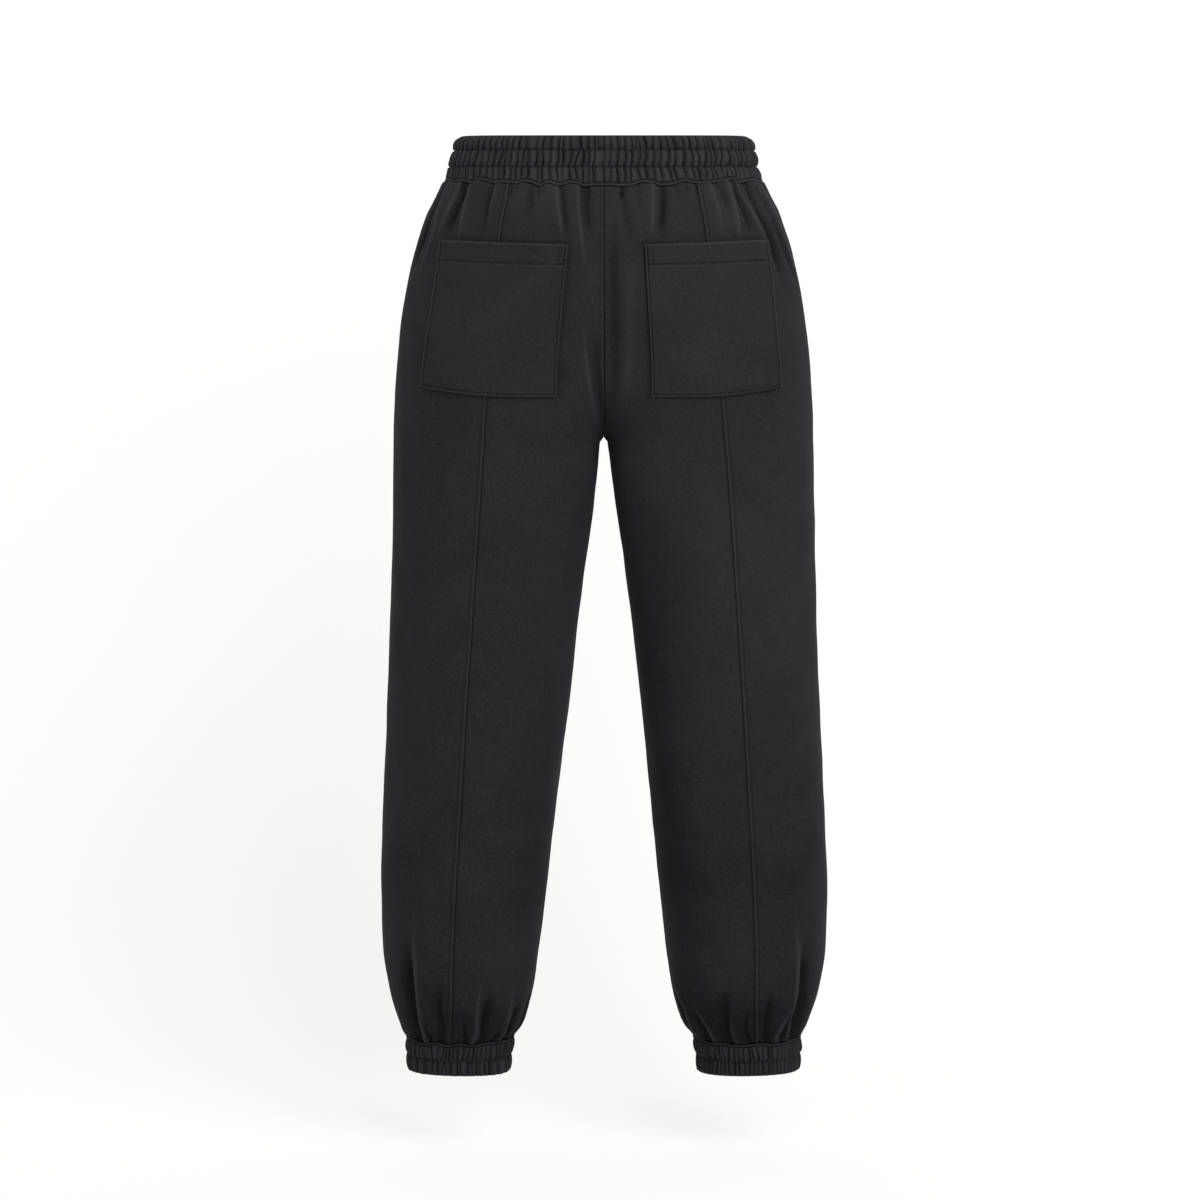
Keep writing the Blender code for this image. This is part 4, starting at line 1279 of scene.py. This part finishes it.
long_run, seat_run = ruler((0.004, 0.909, 0.005)), ruler((0.004, 0.258, 0.004))
above_pocket, below_pocket = np.append(long_run[long_run < 0.056], 0.0575), long_run[long_run > 0.222]
for hand, side in HANDS.items():
    runs = [panel_run(side, "back_outer", BACK_STITCH, drops) for drops in (above_pocket, below_pocket)]
    stitch_runs(f"back_outer_{hand}", f"back_seam_{hand}", *runs)
stitch_runs("back_inner_left", "centre_back", panel_run(-1, "back_inner", MIDDLE_STITCH, seat_run))
stitch_runs("front_right", "centre_front", panel_run(1, "front", MIDDLE_STITCH, seat_run, from_last=True))
stitch_runs("waistband", "waistband", *(casing_run(BAND, line) for line in BAND_STITCHES))
for hand, side in HANDS.items():
    stitch_runs(f"cuff_{hand}", f"cuff_{hand}", *(casing_run(CUFFS[side], line) for line in CUFF_STITCHES))
    stitch_runs(f"pocket_{hand}", f"pocket_{hand}", *pocket_runs(side))

# %% [markdown]
# ## The washed black fleece
#
# Three things make black sweatshirt cloth look like cloth: the knitted face with its tiny columns of loops, a
# short nap that catches light at the edges, and the blotches that washing leaves. Raised places are also coloured
# lighter, partly as wear and partly as painted highlight, and deep ones darker, as painted shade.
# The knit and the nap are node groups, because panels, casings and pockets all use them with their own values.
# The sheen of the nap is set on the shader itself.

# %% Node groups for knit, nap, and the blend of painted light, wear and washing
NAP_LAYERS = {  # scale, detail and roughness of the noise, and how much of it the wash takes
    "Specks": (850, 2.0, 0.6, 0.75), "Clumps": (330, 3.0, 0.6, 0.42), "Blotches": (14, 4.0, 0.55, 0.36),
}
# how far the painted light and shade, with the wear, move the colour between the deep and the pale dye
LIGHT_AND_WEAR_SHARE = 0.40


def new_group(name, inputs, outputs):
    """A group with its inputs and outputs. A number stands for a number socket, a word for another kind."""
    group = bpy.data.node_groups.new(name, "ShaderNodeTree")
    for way, sockets in (("INPUT", inputs), ("OUTPUT", outputs)):
        for label, value in sockets.items():
            kind = value if isinstance(value, str) else "Float"
            socket = group.interface.new_socket(label, in_out=way, socket_type="NodeSocket" + kind)
            if kind == "Float":
                socket.default_value = value
    return group, group.nodes.new("NodeGroupInput").outputs, group.nodes.new("NodeGroupOutput").inputs


def maths(tree, operation, *values):
    """A Math node fed by sockets or plain numbers."""
    node = add_node(tree, "Math")
    node.operation = operation
    for slot, value in zip(node.inputs, values):
        if isinstance(value, (int, float)):
            slot.default_value = value
        else:
            tree.links.new(value, slot)
    return node.outputs[0]


def noise(tree, where, scale, detail=2.0, roughness=0.5):
    node = add_node(tree, "TexNoise", Scale=scale, Detail=detail, Roughness=roughness)
    tree.links.new(where, node.inputs["Vector"])
    return node.outputs["Fac"]


def build_knit_group():
    """Columns of V-shaped loops, from a ruler in metres."""
    group, given, result = new_group(
        "jersey_loops", {"Ruler": "Vector", "Loop width mm": 1.1, "Loop height mm": 0.85}, {"Height": 0.0})

    def step(operation, *values):
        return maths(group, operation, *values)

    split = add_node(group, "SeparateXYZ")
    group.links.new(given["Ruler"], split.inputs[0])
    u, v = (step("DIVIDE", step("MULTIPLY", split.outputs[i], 1000.0), given[size])
            for i, size in enumerate(("Loop width mm", "Loop height mm")))
    from_middle = step("ABSOLUTE", step("SUBTRACT", step("FRACT", u), 0.5))
    slanted = step("ADD", v, step("MULTIPLY", from_middle, 1.3))
    legs = step("SINE", step("MULTIPLY", slanted, 2 * math.pi))
    arch = step("SUBTRACT", 1.0, step("MULTIPLY", from_middle, 2.0))
    group.links.new(step("ADD", step("MULTIPLY", arch, 0.6), step("MULTIPLY", legs, 0.25)), result["Height"])
    return group


def build_nap_group():
    """Short brushed fibres: fine specks, soft clumps and the slow blotches that washing leaves, each round 0.5."""
    group, given, result = new_group("brushed_nap", {"Place": "Vector"}, dict.fromkeys(NAP_LAYERS, 0.0))
    for label, (*looks, _) in NAP_LAYERS.items():
        group.links.new(noise(group, given["Place"], *looks), result[label])
    return group


def build_light_and_wash_group():
    """Blends the dark and the pale shade of the dye, from the painted light and wear and the nap's three noises."""
    group, given, result = new_group(
        "painted_light_and_wash",
        {"Deep": "Color", "Pale": "Color", "Painted light and wear": 0.0, **dict.fromkeys(NAP_LAYERS, 0.5), "Middle": 0.4},
        {"Color": "Color"},
    )
    mix = maths(group, "ADD", given["Middle"], maths(group, "MULTIPLY", given["Painted light and wear"], LIGHT_AND_WEAR_SHARE))
    for label, (*_, share) in NAP_LAYERS.items():
        part = maths(group, "MULTIPLY", maths(group, "SUBTRACT", given[label], 0.5), share)
        mix = maths(group, "ADD", mix, part)
    blend = add_node(group, "Mix")
    blend.data_type = "RGBA"
    for start, end in ((mix, "Factor"), (given["Deep"], "A"), (given["Pale"], "B")):
        group.links.new(start, blend.inputs[end])
    group.links.new(blend.outputs["Result"], result["Color"])
    return group


KNIT, NAP, LIGHT_AND_WASH = build_knit_group(), build_nap_group(), build_light_and_wash_group()
print("node groups", [g.name for g in (KNIT, NAP, LIGHT_AND_WASH)])

# %% Fleece and thread materials
def place_group(tree, group, **values):
    node = add_node(tree, "Group")
    node.node_tree = group
    return set_inputs(node, **values)


def fleece_material(name, deep, pale, middle):
    material, tree, shader = new_material(name, Specular_IOR_Level=0.06, Sheen_Weight=0.03, Sheen_Roughness=0.45,
                                          Sheen_Tint=(0.62, 0.62, 0.66, 1))
    where, painted_light_and_wear, ruler_node = (add_node(tree, kind) for kind in ("TexCoord", "Attribute", "UVMap"))
    # the attribute holds each point's painted light and shade together with its wear
    painted_light_and_wear.attribute_name, ruler_node.uv_map = "painted_light_and_wear", "cloth_ruler"
    nap, knit = place_group(tree, NAP), place_group(tree, KNIT)
    light_and_wash_node = place_group(tree, LIGHT_AND_WASH, Deep=(*deep, 1), Pale=(*pale, 1), Middle=middle)
    rough = add_node(tree, "MapRange", To_Min=0.86, To_Max=1.0)
    relief = add_node(tree, "Bump", Strength=0.35, Distance=0.12 * MM)
    link = tree.links.new
    link(where.outputs["Object"], nap.inputs["Place"])
    link(ruler_node.outputs["UV"], knit.inputs["Ruler"])
    link(painted_light_and_wear.outputs["Fac"], light_and_wash_node.inputs["Painted light and wear"])
    for label in NAP_LAYERS:
        link(nap.outputs[label], light_and_wash_node.inputs[label])
    link(light_and_wash_node.outputs["Color"], shader.inputs["Base Color"])
    link(nap.outputs["Clumps"], rough.inputs["Value"])
    link(rough.outputs["Result"], shader.inputs["Roughness"])
    link(maths(tree, "ADD", knit.outputs["Height"], nap.outputs["Specks"]), relief.inputs["Height"])
    link(relief.outputs["Normal"], shader.inputs["Normal"])
    return material


def thread_material(name, dark, light):
    material, tree, shader = new_material(name, Specular_IOR_Level=0.35, Roughness=0.6)
    where, ramp = add_node(tree, "TexCoord"), add_node(tree, "ValToRGB")
    for stop, colour in zip(ramp.color_ramp.elements, (dark, light)):
        stop.color = (*colour, 1)
    tree.links.new(noise(tree, where.outputs["Object"], 1600), ramp.inputs["Fac"])
    tree.links.new(ramp.outputs["Color"], shader.inputs["Base Color"])
    return material


PANEL_FLEECE = fleece_material("washed_black_fleece", (0.0045, 0.00445, 0.00512), (0.0345, 0.03441, 0.03822), 0.42)
POCKET_FLEECE = fleece_material("pocket_fleece", (0.0045, 0.00445, 0.00512), (0.0345, 0.03441, 0.03841), 0.45)
CASING_FLEECE = fleece_material("gathered_black_fleece", (0.004, 0.00405, 0.00443), (0.035, 0.03542, 0.03841), 0.42)
THREAD = thread_material("black_thread", (0.012, 0.01214, 0.0128), (0.034, 0.03441, 0.03644))

for node, piece in pieces.items():
    gathered = "cuff" in node or "band" in node
    piece.data.materials.append(POCKET_FLEECE if "pocket" in node else CASING_FLEECE if gathered else PANEL_FLEECE)
for piece in stitches.values():
    piece.data.materials.append(THREAD)
print("materials", [m.name for m in bpy.data.materials][-5:])

# %% [markdown]
# ## Telling the frame what is what
#
# Every piece moves with the one body of the garment, and the solid with its name is hidden. The table lists how
# large each cloth was cut before it was gathered.

# %% Cuts of the pieces
CUTS = {  # width and length in metres, area in square metres, how it is held, what carries it
    "back_inner": ((0.235, 0.935), 0.150, "gathered", ["waistband"]),
    "back_outer": ((0.185, 0.935), 0.145, "gathered", ["waistband"]),
    "front": ((0.400, 0.935), 0.285, "gathered", ["waistband"]),
    "cuff": ((0.420, 0.036), None, "gathered", ["back_inner_{}_cloth", "front_{}_cloth"]),
    "pocket": ((0.150, 0.160), None, "laid", ["back_inner_{}_cloth", "back_outer_{}_cloth"]),
    "waistband": ((1.120, 0.046), None, "gathered", []),
}

for node, piece in pieces.items():
    kind, _, hand = node.rpartition("_") if node != "waistband" else (node, "", "")
    flat, area, held, on = CUTS[kind]
    on = [carrier.format(hand) for carrier in on]
    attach(piece, "root")
    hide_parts(node)
    beads = [stitches[node]] if node in stitches else []
    for bead in beads:
        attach(bead, "root")
print("declared", len(pieces), "cloths")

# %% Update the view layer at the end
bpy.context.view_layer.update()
